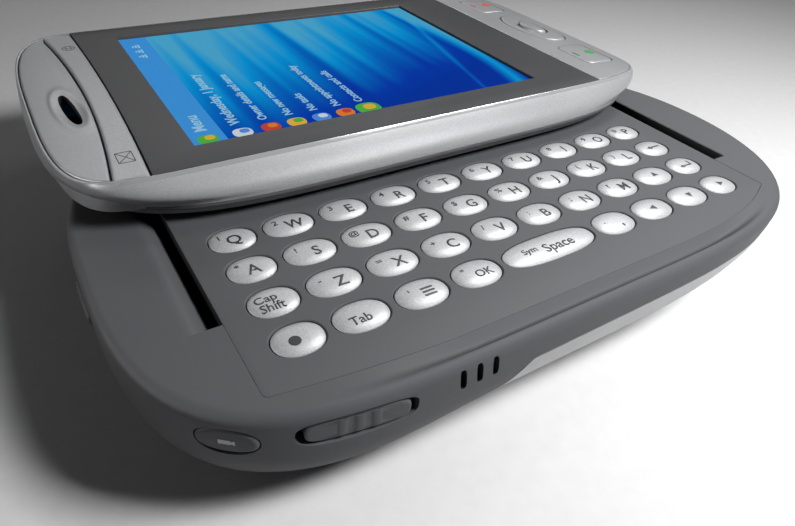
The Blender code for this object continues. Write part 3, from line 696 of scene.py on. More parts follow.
def key_piece(node):
    at, half, power = key_shape(node)
    loops = [oval(half, power, z, 72, at) for z in (KEY_TOP - 2.0 * MM, KEY_EDGE_Z - 0.15 * MM)]
    for scale in (0.995, 0.98, 0.955, 0.92, 0.87, 0.8, 0.7, 0.58, 0.45, 0.3, 0.15, 0.02):
        height = dome_height(half[0] * scale, 0.0, half, power)
        loops.append(oval(half, power, height, 72, at, scale=scale))
    key = loft("pearl_" + node, loops)
    return finish(smooth(key, 60), "key", node, "key_silver", node)


# Each key's marks: (text or shape, its measures, where its middle is), all in millimetres.
# Legends are letters, digits, signs and plain words only.
MARKS = {
    "ok": [("OK", 1.65, (0.65, -0.55)), ('"', 1.35, (-1.6, 0.45))],
    "shift": [("Cap", 1.6, (-0.75, 0.4)), ("Shift", 1.6, (-0.45, -1.0))],
    "tab": [("Tab", 1.65, (-0.4, -0.75))],
    "space": [("Space", 2.1, (1.0, -0.5)), ("Sym", 1.35, (-3.3, 0.1))],
    "function": [("disc", 0.66, (-0.5, -0.4))],
    "start": [
        ("bar", (-0.1, -0.965, 1.5, -0.685), (0, 0)), ("bar", (-0.1, -0.415, 1.5, -0.135), (0, 0)),
        ("bar", (-0.1, 0.135, 1.5, 0.415), (0, 0)), ("'", 1.35, (-1.45, 0.2)),
    ],
    "backspace": [("arrow", (0.6, 180), (-0.8, -0.2)), ("bar", (-0.6, -0.36, 1.3, -0.04), (0, 0))],
    "enter": [
        ("arrow", (0.55, 180), (-0.9, -0.5)), ("bar", (-0.7, -0.64, 1.2, -0.36), (0, 0)),
        ("bar", (0.92, -0.4, 1.2, 0.55), (0, 0)),
    ],
}
for name, turn in (("up", 90), ("down", -90), ("left", 180), ("right", 0)):
    MARKS[name] = [("arrow", (0.72, turn), (0, -0.2))]
for name, small in zip("qwertyuiopasdfghjklzxcvbnm", "1234567890*!@#$%&()-=+/:;?"):
    MARKS[name] = [(name.upper(), 2.3, (0.65, -0.55)), (small, 1.35, (-1.6, 0.45))]
MARKS["comma"] = [(",", 2.3, (0.65, -0.55)), (".", 1.35, (-1.6, 0.45))]
NARROW_PLACES = {(0.65, -0.55): (0.1, -0.5), (-1.6, 0.45): (-1.5, 0.5)}


def text_mesh(text, size, weight=0.014):
    """Flat outlines of a few characters, centred on the origin."""
    curve = bpy.data.curves.new("text", "FONT")
    curve.body = text
    curve.size = size
    curve.align_x = curve.align_y = "CENTER"
    curve.resolution_u = 3
    curve.offset = size * weight
    holder = link("text", curve)
    mesh_data = evaluated(holder)
    bpy.data.objects.remove(holder)
    bpy.data.curves.remove(curve)
    return mesh_data


def bar_mesh(low, high, slices=6):
    """A flat rectangle split along its length so that it can follow a dome."""
    bm = bmesh.new()
    rows = []
    for step in range(slices + 1):
        x = low[0] + (high[0] - low[0]) * step / slices
        rows.append([bm.verts.new((x, y, 0)) for y in (low[1], high[1])])
    for first, second in zip(rows, rows[1:]):
        bm.faces.new((first[0], second[0], second[1], first[1]))
    return mesh_of("bar", bm)


def disc_mesh(radius, steps=28):
    bm = bmesh.new()
    bmesh.ops.create_circle(bm, cap_ends=True, segments=steps, radius=radius)
    return mesh_of("disc", bm)


def polygon_mesh(points):
    bm = bmesh.new()
    bm.faces.new([bm.verts.new((x, y, 0)) for x, y in points])
    return mesh_of("polygon", bm)


def printed(name, flats, height_at, thickness=0.02 * MM):
    """Thin prints laid on a surface: flats are (mesh, (x, y)) and height_at gives the surface."""
    joined = bmesh.new()
    for flat, (x, y) in flats:
        flat.transform(Matrix.Translation((x, y, 0)))
        joined.from_mesh(flat)
        bpy.data.meshes.remove(flat)
    bmesh.ops.triangulate(joined, faces=joined.faces)
    for _ in range(2):
        long_edges = [edge for edge in joined.edges if edge.calc_length() > 0.35 * MM]
        if not long_edges:
            break
        bmesh.ops.subdivide_edges(joined, edges=long_edges, cuts=1)
        bmesh.ops.triangulate(joined, faces=joined.faces)
    extruded = bmesh.ops.extrude_face_region(joined, geom=list(joined.faces))
    raised = [item for item in extruded["geom"] if isinstance(item, bmesh.types.BMVert)]
    for vertex in joined.verts:
        vertex.co.z = height_at(vertex.co.x, vertex.co.y) - 0.01 * MM
    for vertex in raised:
        vertex.co.z += 0.01 * MM + thickness
    bmesh.ops.recalc_face_normals(joined, faces=joined.faces)
    return link(name, mesh_of(name, joined))


def arrow_mesh(size, degrees):
    points = [(size, 0), (-size * 0.5, size * 0.75), (-size * 0.5, -size * 0.75)]
    turn = math.radians(degrees)
    turned = [
        (x * math.cos(turn) - y * math.sin(turn), x * math.sin(turn) + y * math.cos(turn))
        for x, y in points
    ]
    return polygon_mesh(turned)


def mark_mesh(kind, measure):
    if kind == "disc":
        return disc_mesh(measure * MM)
    if kind == "arrow":
        return arrow_mesh(measure[0] * MM, measure[1])
    if kind == "bar":
        return bar_mesh(mm(*measure[:2]), mm(*measure[2:]))
    return text_mesh(kind, measure * MM)


def key_legend(node):
    at, half, power = key_shape(node)
    flats = []
    for kind, measure, place in MARKS[node[4:]]:
        if half[0] < 2.95 * MM:
            place = NARROW_PLACES.get(place, place)
        x, y = mm(*place)
        flats.append((mark_mesh(kind, measure), (at.x + x, at.y + y)))

    legend = printed("legend_" + node, flats, lambda x, y: dome_height(x - at.x, y - at.y, half, power))
    return finish(legend, "ink", node, "key_silver")


# ---- side controls


def wall_button(name, half, power, proud, edge):
    """A push piece built along its own +Z, with a rounded border and a slightly domed face."""
    loops = [oval(half, power, 0.6 * MM - RECESS_DEPTH)]
    for inset, height in rounded(edge, proud, 6):
        loops.append(oval(half, power, height, grow=-inset))
    loops.append(oval(half, power, proud + 0.04 * MM, scale=0.5))
    return loft(name, loops)


def side_controls():
    knob = wall_button("volume_knob", mm(5.3, 1.54), 3.4, 0.06 * MM, 0.35 * MM)
    ridges = []
    for x in (-1.7, 0.0, 1.7):
        ring = oval(mm(0.6, 0.17), 2.0, 0.0, 24)
        ridges.append([
            [Vector((x * MM + point.x, y, point.y)) for point in ring]
            for y in mm(-1.15, 1.15)
        ])
    combine(knob, many_lofts("ridges", ridges), "UNION")
    place(knob, *VOLUME_AT)
    finish(smooth(knob, 40), "dark", "volume_slider", "dark_grey", "volume_slider")

    controls = (
        ("record_push", "record_button", RECORD_AT, (3.05, 1.65), 2.2, 0.08, "dark", "dark_grey"),
        ("camera_push", "camera_button", CAMERA_KEY_AT, (4.3, 1.1), 3.6, 0.25, "silver", "silver_paint"),
        ("power_push", "power_button", POWER_AT, (3.7, 1.0), 3.6, 0.25, "dark", "dark_grey"),
    )
    for name, node, at, half, power, proud, look, slot in controls:
        button = wall_button(name, (half[0] * MM, half[1] * MM), power, proud * MM, 0.45 * MM)
        place(button, *at)
        finish(smooth(button, 60), look, node, slot, node)

    mark = printed("record_mark", [
        (bar_mesh(mm(-0.75, -0.28), mm(0.45, 0.28), 4), (0, 0)),
        (arrow_mesh(0.42 * MM, 180), (0.62 * MM, 0)),
    ], lambda x, y: 0.13 * MM)
    place(mark, *RECORD_AT)
    finish(mark, "pale_ink", "record_button", "dark_grey")


# ---- screen half


def band_rows():
    """(height, left, right, side, share): the silver band's outside from its lip to its top."""
    lip = (
        (17.6, 1.2), (17.6, 0.6), (17.66, 0.34), (17.8, 0.18), (18.1, 0.1),
        (18.36, 0.06), (18.42, 0.13), (18.48, 0.06), (18.54, 0.0), (18.8, 0.0),
    )
    rows = [(z, inset, inset + 2.0, inset, 0.0) for z, inset in lip]
    steps = 12
    for step in range(1, steps + 1):
        share = step / steps
        curve = share ** 1.6
        rows.append((18.8 + 3.6 * share, 0.5 * curve, 2.0 + 2.3 * curve, 3.45 * curve, share ** 1.3))
    return rows


def silver_band():
    """The painted side band, a closed ring with a thin upper edge."""
    loops = [plan_loop(*mm(*row[:4]), row[4]) for row in band_rows()]
    _, left, right, side, _ = band_rows()[-1]
    for z, more in ((22.44, 0.08), (22.44, 0.2), (22.38, 0.3), (19.5, 0.34), (18.2, 0.34)):
        loops.append(plan_loop(*mm(z, left + more, right + more, side + more), 1.0))
    loops.append(plan_loop(*mm(17.6, 3.0, 5.0, 3.4), 0.4))
    band = loft("silver_side_band", loops, closed=True)
    drop_ends(band)
    finish(smooth(band, 38), "silver", "screen_half", "silver_paint", "slider_housing")
    band.data.materials.append(MATERIAL["lip"])
    band.data.materials.append(MATERIAL["silver_edge"])
    # Rows below 18.43 mm take the lip grey; rows above 22.2 mm take the silver edge, whose lighter colour is
    # a painted highlight along the top edge.
    for polygon in band.data.polygons:
        height = polygon.center.z
        polygon.material_index = 1 if height < 18.43 * MM else 2 if height > 22.2 * MM else 0
    return band


RIM_LEFT = HALF_LENGTH - 0.5 * MM - 0.34 * MM
RIM_RIGHT = HALF_LENGTH - 4.3 * MM - 0.34 * MM
RIM_SIDE = HALF_WIDTH - 3.45 * MM - 0.34 * MM


def rim_x(y, half_x, powers, inward):
    """Where the band's inner edge is, at one distance from the middle of the width."""
    share = min(1.0, abs(y) / (RIM_SIDE - inward))
    return (half_x - inward) * (1 - share ** powers[1]) ** (1 / powers[0])


def clustered(edge, count):
    """Shares from 0 to 1, close together within edge of both ends."""
    fine = [edge * step / 6 for step in range(7)]
    wide = [edge + (1 - 2 * edge) * step / count for step in range(1, count)]
    return fine + wide + [1 - value for value in reversed(fine)]


def plate(name, ys, x_low, x_high, top_z, thickness, edge, round_depth):
    """A thin plate between two curves, with a curved top and softly rounded borders."""
    columns = clustered(0.06, 28)
    top, bottom = [], []
    for y in ys:
        low, high = x_low(y), x_high(y)
        for share in columns:
            x = low + (high - low) * share
            near = min(x - low, high - x, y - ys[0], ys[-1] - y)
            fall = 0.0
            if near < edge:
                fall = round_depth * (1 - math.sqrt(max(0.0, 1 - (1 - near / edge) ** 2)))
            top.append(Vector((x, SLIDER_Y + y, top_z(x, y) - fall)))
            bottom.append(Vector((x, SLIDER_Y + y, top_z(x, y) - thickness)))
    wide, tall, shift = len(columns), len(ys), len(top)
    faces = []
    for row in range(tall - 1):
        for first in range(row * wide, row * wide + wide - 1):
            quad = (first, first + 1, first + wide + 1, first + wide)
            faces += [quad, tuple(shift + index for index in reversed(quad))]
    border = list(range(wide)) + [row * wide + wide - 1 for row in range(1, tall)]
    border += [(tall - 1) * wide + column for column in reversed(range(wide - 1))]
    border += [row * wide for row in reversed(range(1, tall - 1))]
    for first, second in zip(border, border[1:] + border[:1]):
        faces.append((second, first, shift + first, shift + second))
    return from_faces(name, top + bottom, faces)


def spread(low, high, edge, count):
    return [low + (high - low) * share for share in clustered(edge, count)]


def end_rows(reach):
    """Distances across the width, close together at both ends."""
    return [reach * math.sin(math.pi / 2 * (2 * step / 90 - 1)) for step in range(91)]


EARPIECE = Vector(mm(-46.6, -4.2))
CAP_TOP = TOP_Z - 0.06 * MM


def cap_height(x, y):
    """The left cap's surface: it falls to the left end and swells round the earpiece slot."""
    height = CAP_TOP - end_drop(x)
    away_x = (x - EARPIECE.x + 0.07 * (y - EARPIECE.y)) / (1.9 * MM)
    away_y = (y - EARPIECE.y) / (6.9 * MM)
    ring = math.hypot(away_x, away_y)
    height += 0.14 * MM * math.exp(-((ring - 1.0) / 0.14) ** 2)
    height -= 0.25 * MM * (1 - ease((ring - 0.4) / 0.5))
    # the far half of the seam with the rocker lies in a soft hollow
    to_seam = BAND_X - BAND_BOW * y * y - x
    height -= 0.4 * MM * (1 - ease(to_seam / (2.2 * MM))) * ease((y + 8 * MM) / (16 * MM))
    return height


def left_cap():
    cap = plate(
        "silver_left_cap", end_rows(RIM_SIDE - 0.25 * MM),
        lambda y: -rim_x(y, RIM_LEFT, TOP_LEFT_CURVE, HAIR),
        lambda y: max(
            BAND_X - HAIR - BAND_BOW * y * y,
            -rim_x(y, RIM_LEFT, TOP_LEFT_CURVE, HAIR) + 0.15 * MM,
        ),
        cap_height, *mm(1.3, 0.3, 0.22),
    )
    slot = []
    for z in THROUGH:
        slot.append([
            Vector((point.x - 0.07 * point.y + EARPIECE.x, point.y + SLIDER_Y + EARPIECE.y, z))
            for point in oval(mm(0.85, 5.2), 2.4, z, 48)
        ])
    combine(cap, loft("earpiece_tool", slot))
    finish(smooth(cap, 40), "silver", "screen_half", "silver_paint")
    # painted shade: the inner walls of the earpiece slot are painted black
    low = (EARPIECE.x - 1.4 * MM, SLIDER_Y + EARPIECE.y - 5.6 * MM, 18 * MM)
    high = (EARPIECE.x + 1.4 * MM, SLIDER_Y + EARPIECE.y + 5.6 * MM, CAP_TOP - 0.62 * MM)
    paint_shade_black(cap, low, high)
    return cap


ROCKER_REACH = WINDOW_HALF - 0.35 * MM


def rocker_height(x, y):
    """The rocker's surface, which falls a little towards both ends."""
    return TOP_Z - 0.05 * MM - 0.12 * MM * (y / ROCKER_REACH) ** 2


def rocker():
    """The bowed silver application rocker beside the cap."""
    band = plate(
        "silver_application_rocker", spread(-ROCKER_REACH, ROCKER_REACH, 0.02, 60),
        lambda y: BAND_X + HAIR - BAND_BOW * y * y,
        lambda y: BEZEL_X - HAIR - BEZEL_BOW * y * y,
        rocker_height, *mm(1.6, 0.5, 0.32),
    )
    return finish(smooth(band, 40), "silver", "application_rocker", "silver_paint", "application_rocker")


def strips(points, at, width=0.11 * MM):
    """Flat strips along a line of points, laid round a place."""
    flats = []
    for start, end in zip(points, points[1:]):
        a, b = Vector(start), Vector(end)
        side = Vector((a.y - b.y, b.x - a.x)).normalized() * width / 2
        corners = (a - side, b - side, b + side, a + side)
        flats.append((polygon_mesh([tuple(corner) for corner in corners]), at))
    return flats


def rocker_icons():
    """Line icons on the rocker's ends: an envelope and a globe."""
    wide, tall = mm(0.95, 1.3)
    at = (-43.2 * MM, SLIDER_Y - 20.7 * MM)
    flats = strips([(-wide, -tall), (wide, -tall), (wide, tall), (-wide, tall), (-wide, -tall)], at)
    for corner in ((-wide, -tall), (-wide, tall), (wide, -tall), (wide, tall)):
        flats += strips([corner, (0.1 * MM, 0)], at)
    at = (-42.9 * MM, SLIDER_Y + 19.2 * MM)
    for across in (0.95 * MM, 0.42 * MM):
        turns = np.linspace(0, 2 * math.pi, 25)
        flats += strips([(across * math.cos(turn), wide * math.sin(turn)) for turn in turns], at)
    flats += strips([(-wide, 0), (wide, 0)], at)
    icons = printed("rocker_icons", flats, lambda x, y: rocker_height(x, y - SLIDER_Y))
    return finish(icons, "ink", "application_rocker", "silver_paint")


def nav_panel():
    """The right end panel with the openings for the pad and the call keys."""
    panel = plate(
        "silver_navigation_panel", end_rows(RIM_SIDE - 0.2 * MM),
        lambda y: PANEL_X + HAIR,
        lambda y: max(PANEL_X + 1.0 * MM, rim_x(y, RIM_RIGHT, TOP_RIGHT_CURVE, 0.0)),
        lambda x, y: TOP_Z - 0.05 * MM - end_drop(x), *mm(1.3, 0.15, 0.08),
    )
    stacks = [[oval(mm(4.35, 8.35), 2.4, z, 72, NAV) for z in THROUGH]]
    for node in ("talk_key", "end_key"):
        stacks.append([oval(mm(3.55, 4.75), 5.0, z, 56, middle(node)) for z in THROUGH])
    combine(panel, many_lofts("panel_tool", stacks))
    return finish(smooth(panel, 40), "silver", "screen_half", "silver_paint")


NAV = middle("navigation_pad")


def pad_loops(half, power, at, low_z, top_z, edge, crown):
    loops = [oval(half, power, low_z, 72, at)]
    for inset, z in rounded(edge, top_z, 7):
        loops.append(oval(half, power, z, 72, at, -inset))
    for share in (0.7, 0.4, 0.1):
        loops.append(oval(half, power, top_z + crown * (1 - share ** 2), 72, at, -edge, share))
    return loops


def navigation():
    centre_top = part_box("navigation_centre")[1].z - 0.06 * MM
    # name, node, place, half size, outline power, top, rounding, crown and smoothing angle
    pieces = [
        ("navigation_pad", "navigation_pad", NAV, (4.15, 8.15), 2.4, TOP_Z + 0.05 * MM, 0.35, 0.0, 40),
        ("select_key", "navigation_centre", NAV, (1.85, 3.5), 2.4, centre_top, 0.6, 0.05, 50),
    ]
    for node in ("talk_key", "end_key"):
        pieces.append((node, node, middle(node), (3.4, 4.6), 5.0, TOP_Z - 0.02 * MM, 0.25, 0.06, 50))
    for name, node, at, half, power, top_z, edge, crown, angle in pieces:
        rings = pad_loops(mm(*half), power, at, 20.6 * MM, top_z, edge * MM, crown * MM)
        piece = loft("silver_" + name, rings)
        if name == "navigation_pad":
            hole = [oval(mm(2.4, 4.1), 2.4, z, 56, (NAV.x - 0.25 * MM, NAV.y)) for z in THROUGH]
            combine(piece, loft("hole", hole))
        drop_ends(piece)
        finish(smooth(piece, angle), "silver", node, "silver_paint", node)


def call_marks():
    """A soft-key bar and a round call mark on each call key."""
    for node, look in (("talk_key", "green_ink"), ("end_key", "red_ink")):
        at = middle(node)
        bars = [(bar_mesh(mm(-0.18, -0.9), mm(0.18, 0.9), 2), (at.x - 2.3 * MM, at.y))]
        bars.append((disc_mesh(0.95 * MM), (at.x + 1.2 * MM, at.y)))
        marks = printed("mark_" + node, bars, lambda x, y: TOP_Z + 0.05 * MM - end_drop(x))
        finish(marks, look, node, "silver_paint")


def surround():
    """The dark screen surround with its chamfered window."""
    def edge_points(inward):
        reach = WINDOW_HALF - inward
        steps = 24
        ys = [reach * (2 * step / steps - 1) for step in range(steps + 1)]
        points = [(PANEL_X - inward, SLIDER_Y + y) for y in ys]
        points += [(BEZEL_X + inward - BEZEL_BOW * y * y, SLIDER_Y + y) for y in reversed(ys)]
        return points

    rows = ((TOP_Z - 1.4 * MM, 0.02), (TOP_Z - 0.12 * MM, 0.02), (TOP_Z - 0.03 * MM, 0.06), (TOP_Z, 0.16))
    plate_piece = loft("dark_screen_surround", [level(z, edge_points(inward * MM)) for z, inward in rows])
    window = []
    corners = ((-1, -1), (1, -1), (1, 1), (-1, 1))
    for z, grow in ((-3, 0.0), (-0.25, 0.0), (-0.05, 0.06), (0.01, 0.16), (1, 0.16)):
        half_x, half_y = (half + grow * MM for half in SCREEN_HALF)
        plan = [(SCREEN_X + half_x * a, SLIDER_Y + half_y * b) for a, b in corners]
        window.append(level(TOP_Z + z * MM, plan))
    combine(plate_piece, loft("window_tool", window))
    return finish(smooth(plate_piece, 30), "surround", "screen_half", "surround_grey", "screen_bezel")


def underside():
    """The dark sliding plate under the screen half, with its two hooked fins."""
    rows = (
        (16.2, 3.2), (16.22, 2.5), (16.3, 1.9), (16.45, 1.45), (16.65, 1.15),
        (16.95, 0.95), (17.25, 0.85), (17.5, 0.82), (17.58, 0.9),
    )
    loops = [plan_loop(*mm(z, inset, inset + 2.0, inset)) for z, inset in rows]
    plate_piece = loft("dark_slider_plate", loops)
    for centre in (SLOT_LEFT[1] - SLOT_WIDTH / 2, (SLOT_RIGHT[0] + SLOT_RIGHT[1]) / 2):
        for name, back, low_z, high_z in (("fin", 0.3, 11.7, 16.6), ("foot", 2.0, 11.6, 12.4)):
            low = (centre - back * MM, *mm(3.2, low_z))
            high = (centre + 0.3 * MM, *mm(4.9, high_z))
            combine(plate_piece, loft(name, box_loops(low, high)), "UNION")
    return finish(smooth(plate_piece, 30), "plate_grey", "screen_half", "dark_grey", "slider_plate")


# ---- the screen


# The picture's arc and streak, in shares of the screen's width and height from its middle
ARC_MIDDLE, ARC_RADIUS, ARC_WIDTH, ARC_STRENGTH = 2.645, 3.14, 0.045, 0.5
STREAK_SLOPE, STREAK_PLACE, STREAK_WIDTH, STREAK_STRENGTH = 0.16, 0.406, 0.016, 0.2
BEAM_SLANT, BEAM_CONTRAST, BEAM_OFFSET = 0.02, 1.9, -0.18
GLOW_FALL, GLOW_OFFSET, LEAST_LIGHT = 0.45, 0.2, 0.16


def screen_material():
    """A lit blue picture: deep to pale blue with soft slanting beams."""
    made, shader = shader_of("screen_picture", (0.02, 0.2, 0.6), 0.12)
    tree = made.node_tree
    coordinates = tree.nodes.new("ShaderNodeTexCoord")
    separate = tree.nodes.new("ShaderNodeSeparateXYZ")
    tree.links.new(coordinates.outputs["Object"], separate.inputs["Vector"])

    def calc(operation, first, second=0.0):
        node = tree.nodes.new("ShaderNodeMath")
        node.operation = operation
        for socket, value in zip(node.inputs, (first, second)):
            if isinstance(value, (int, float)):
                socket.default_value = value
            else:
                tree.links.new(value, socket)
        return node.outputs["Value"]

    along = calc("MULTIPLY", separate.outputs["X"], 1 / (2 * SCREEN_HALF[0]))
    across = calc("MULTIPLY", separate.outputs["Y"], 1 / (2 * SCREEN_HALF[1]))
    beams = tree.nodes.new("ShaderNodeTexNoise")
    beams.noise_dimensions = "1D"
    fill(beams, {"Scale": 13.0, "Detail": 1.5})
    tree.links.new(calc("ADD", along, calc("MULTIPLY", across, BEAM_SLANT)), beams.inputs["W"])
    # the light comes from the far left corner and dies away towards the user and the right
    fall = calc("MULTIPLY", calc("ADD", along, 0.5), GLOW_FALL)
    glow = calc("ADD", calc("SUBTRACT", calc("ADD", across, 0.5), fall), GLOW_OFFSET)
    rays = calc("ADD", calc("MULTIPLY", beams.outputs["Fac"], BEAM_CONTRAST), BEAM_OFFSET)
    shine = calc("MULTIPLY", calc("MAXIMUM", glow, 0.0), rays)

    def line(distance, half_width, strength):
        """A soft line along the places where a distance is nought."""
        near = calc("SUBTRACT", 1.0, calc("DIVIDE", calc("ABSOLUTE", distance), half_width))
        return calc("MULTIPLY", calc("MAXIMUM", near, 0.0), strength)

    # a pale arc along the right side
    from_centre = calc("POWER", calc("ADD", along, ARC_MIDDLE), 2.0)
    radius = calc("SQRT", calc("ADD", from_centre, calc("POWER", across, 2.0)))
    arc = line(calc("SUBTRACT", radius, ARC_RADIUS), ARC_WIDTH, ARC_STRENGTH)
    # and a thin straight streak that leaves it towards the near right
    away = calc("SUBTRACT", calc("MULTIPLY", across, STREAK_SLOPE), calc("SUBTRACT", along, STREAK_PLACE))
    streak = line(away, STREAK_WIDTH, STREAK_STRENGTH)
    level_of_light = calc("ADD", calc("ADD", shine, calc("ADD", arc, streak)), LEAST_LIGHT)
    colours = ramp(
        tree, level_of_light, (0.0, (0.0, 0.012, 0.20)), (0.25, (0.0, 0.034, 0.35)),
        (0.42, (0.0, 0.12, 0.46)), (0.62, (0.001, 0.26, 0.60)), (0.95, (0.06, 0.34, 0.55)),
    )
    tree.links.new(colours, shader.inputs["Emission Color"])
    fill(shader, {"Base Color": (0.002, 0.004, 0.008, 1.0), "Emission Strength": 0.95})
    fill(shader, {"Specular IOR Level": 0.0})
    return made


def glow_material(name, colour, strength):
    """A lit picture element with a faint cell pattern."""
    made, shader = shader_of(name, tuple(value * 0.03 for value in colour), 0.3)
    fill(shader, {"Specular IOR Level": 0.0, "Emission Strength": strength})
    tree = made.node_tree
    cells = noise(tree, 9000.0, 1.0)
    low = tuple(value * 0.86 for value in colour)
    tint = ramp(tree, cells.outputs["Fac"], (0.3, low), (0.7, colour))
    tree.links.new(tint, shader.inputs["Emission Color"])
    return made


def screen_glass():
    half_x, half_y = SCREEN_HALF[0] - 0.02 * MM, SCREEN_HALF[1] - 0.02 * MM
    glass = loft("lit_screen", box_loops((-half_x, -half_y, 18.4 * MM - GLASS_Z), (half_x, half_y, 0.0)))
    glass.location = (SCREEN_X, SLIDER_Y, GLASS_Z)
    MATERIAL["screen"] = screen_material()
    return finish(glass, "screen", "screen_half", "screen", "display_panel")


def flat_piece(name, rectangles, lift, look):
    """Thin raised rectangles on the screen, given by middle and half size in screen millimetres."""
    stacks = []
    base = GLASS_Z + lift
    for x, y, half_x, half_y in rectangles:
        at = (SCREEN_X + x * MM, SLIDER_Y + y * MM)
        low = (at[0] - half_x * MM, at[1] - half_y * MM, base)
        high = (at[0] + half_x * MM, at[1] + half_y * MM, base + 0.01 * MM)
        stacks.append(box_loops(low, high))
    piece = many_lofts(name, stacks)
    return finish(piece, look, "screen_half", "screen")


# Place from the screen's left edge, words and letter height of each row of the start page
SCREEN_ROWS = (
    (2.2, "Menu", 2.3), (6.9, "Wednesday, 1 January", 2.1), (10.9, "Owner details and name", 1.75),
    (14.7, "No new messages", 1.75), (18.5, "No tasks", 1.75), (22.3, "No appointments today", 1.75),
    (26.1, "Contacts and calls", 1.75),
)


def screen_words(left, near):
    """Rows of words that run along the width of the device, with their tops to the left."""
    flats = []
    for x, words, size in SCREEN_ROWS:
        flat = text_mesh(words, size * MM, 0.02)
        start = min(vertex.co.x for vertex in flat.vertices)
        flat.transform(Matrix.Rotation(math.radians(90), 4, "Z") @ Matrix.Translation((-start, 0, 0)))
        flats.append((flat, (SCREEN_X + (left + x) * MM, SLIDER_Y + (near + 4.2) * MM)))
    words = printed("screen_words", flats, lambda x, y: GLASS_Z + 0.015 * MM, 0.01 * MM)
    finish(words, "white_glow", "screen_half", "screen")


def screen_contents():
    """A generic start page: title bar, rows of plain words and round symbols."""
    MATERIAL["title"] = glow_material("title_blue", (0.045, 0.27, 0.66), 0.95)
    MATERIAL["white_glow"] = glow_material("white_glow", (0.30, 0.55, 0.72), 0.9)
    left = -SCREEN_HALF[0] / MM
    near = -SCREEN_HALF[1] / MM
    half_y = SCREEN_HALF[1] / MM - 0.05
    flat_piece("screen_title_bar", [(left + 2.3, 0, 2.25, half_y)], 0.0, "title")
    screen_words(left, near)
    signals = [
        (left + 2.2 + step * 0.45 - 0.6, -near - 9 + row * 2.4, 0.16, 0.3 + 0.25 * step)
        for row in range(3) for step in range(3)
    ]
    flat_piece("screen_signals", signals, 0.012 * MM, "white_glow")
    colours = (
        ("icon_green", (0.08, 0.42, 0.06)), ("icon_white", (0.6, 0.66, 0.7)),
        ("icon_red", (0.5, 0.06, 0.04)), ("icon_yellow", (0.7, 0.42, 0.05)),
        ("icon_blue", (0.08, 0.25, 0.7)), ("icon_orange", (0.7, 0.2, 0.03)),
    )
    for name, colour in colours:
        MATERIAL[name] = glow_material(name, colour, 0.9)
    for index, (row, _, _) in enumerate(SCREEN_ROWS):
        size = 1.9 if index == len(SCREEN_ROWS) - 1 else 1.35
        for part, (shift, share) in enumerate(((0.0, 1.0), (0.35, 0.5))):
            name = colours[(index + part * 3) % len(colours)][0]
            at = (SCREEN_X + (left + row + shift) * MM, SLIDER_Y + (near + 1.7 + shift) * MM)
            half = mm(size * share, size * share * 0.9)
            heights = mm(0.012 + part * 0.012, 0.024 + part * 0.012)
            loops = [oval(half, 2.6, GLASS_Z + z, 32, at) for z in heights]
            symbol = loft("screen_symbol_%d_%d" % (index, part), loops)
            finish(symbol, name, "screen_half", "screen")


# ---- hidden and carried-over nodes


def dress_inner_nodes():
    looks = {
        "battery_pack": "black", "main_board": "board", "keypad_mat": "rubber",
        "earpiece_speaker": "black", "camera_window": "black", "stylus": "dark",
    }
    for node, look in looks.items():
        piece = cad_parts[node]
        piece.data.materials.clear()
        piece.data.materials.append(MATERIAL[look])


# ---- floor, light and camera


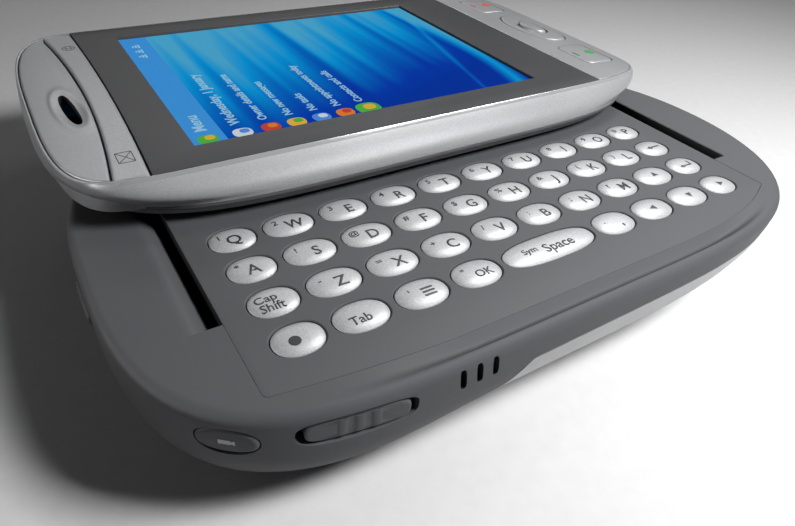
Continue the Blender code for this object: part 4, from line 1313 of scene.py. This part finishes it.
def stage():
    floor_mesh = bpy.data.meshes.new("floor")
    reach = 3.0
    floor_mesh.from_pydata(
        [(-reach, -reach, 0), (reach, -reach, 0), (reach, reach, 0), (-reach, reach, 0)], [], [(0, 1, 2, 3)]
    )
    floor = link("floor", floor_mesh)
    floor.location.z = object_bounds()[0][2] - 0.02 * MM
    look, shader = shader_of("floor_paper", (0.57, 0.57, 0.57), 0.75)
    tree = look.node_tree
    grain = noise(tree, 500.0, 3.0)
    tint = ramp(tree, grain.outputs["Fac"], (0.3, (0.56,) * 3), (0.7, (0.585,) * 3))
    tree.links.new(tint, shader.inputs["Base Color"])
    floor_mesh.materials.append(look)
    floor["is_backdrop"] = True


def area_light(name, at, target, size, power):
    light = bpy.data.lights.new(name, "AREA")
    light.shape = "RECTANGLE"
    light.size = size[0]
    light.size_y = size[1]
    light.energy = power
    holder = link(name, light)
    holder.location = at
    holder.rotation_euler = (Vector(target) - Vector(at)).to_track_quat("-Z", "Y").to_euler()
    return holder


def lighting():
    world = bpy.data.worlds.new("studio")
    bpy.context.scene.world = world
    world.use_nodes = True
    fill(world.node_tree.nodes["Background"], {"Color": (0.9, 0.93, 1.0, 1.0), "Strength": 0.02})
    key = area_light("key_softbox", (0.078, -0.113, 0.158), (0.02, -0.02, 0.0), (0.055, 0.055), 0.7)
    key.visible_glossy = False
    # pale panels that only show as a soft sheen on the painted surfaces
    panels = (
        ("front_panel", (0.08, -0.108, 0.155), (0.08, 0.08), 0.11),
        ("sheen_panel", (0.06, 0.5, 0.33), (0.6, 0.14), 0.62),
        ("left_panel", (-0.45, 0.1, 0.2), (0.6, 0.3), 3.0),
        ("edge_panel", (0.25, 0.07, 0.39), (0.15, 0.15), 2.2),
    )
    for name, at, size, power in panels:
        area_light(name, at, (0.0, 0.0, 0.0), size, power).visible_diffuse = False


CAMERA_AT = mm(-52.04, -76.18, 60.15)
CAMERA_TURNS = ((-34.71, "Z"), (51.81, "X"), (4.68, "Z"))
FOCAL_LENGTH = 27.78            # for a sensor 36 wide


def camera():
    lens = bpy.data.cameras.new("camera")
    lens.sensor_fit = "HORIZONTAL"
    lens.sensor_width = 36.0
    lens.lens = FOCAL_LENGTH
    lens.clip_start = 0.005
    lens.dof.use_dof = False
    holder = link("camera", lens)
    turn = Matrix.Identity(4)
    for degrees, axis in CAMERA_TURNS:
        turn = turn @ Matrix.Rotation(math.radians(degrees), 4, axis)
    holder.matrix_world = Matrix.Translation(CAMERA_AT) @ turn
    bpy.context.scene.camera = holder


def main():
    camera()
    base_shell()
    keyboard_field()
    back_cover()
    for node in KEY_NODES:
        key_piece(node)
        key_legend(node)
    side_controls()
    silver_band()
    left_cap()
    rocker()
    rocker_icons()
    nav_panel()
    navigation()
    call_marks()
    surround()
    underside()
    screen_glass()
    screen_contents()
    dress_inner_nodes()
    stage()
    lighting()
    bpy.context.scene.view_settings.view_transform = "Standard"


main()
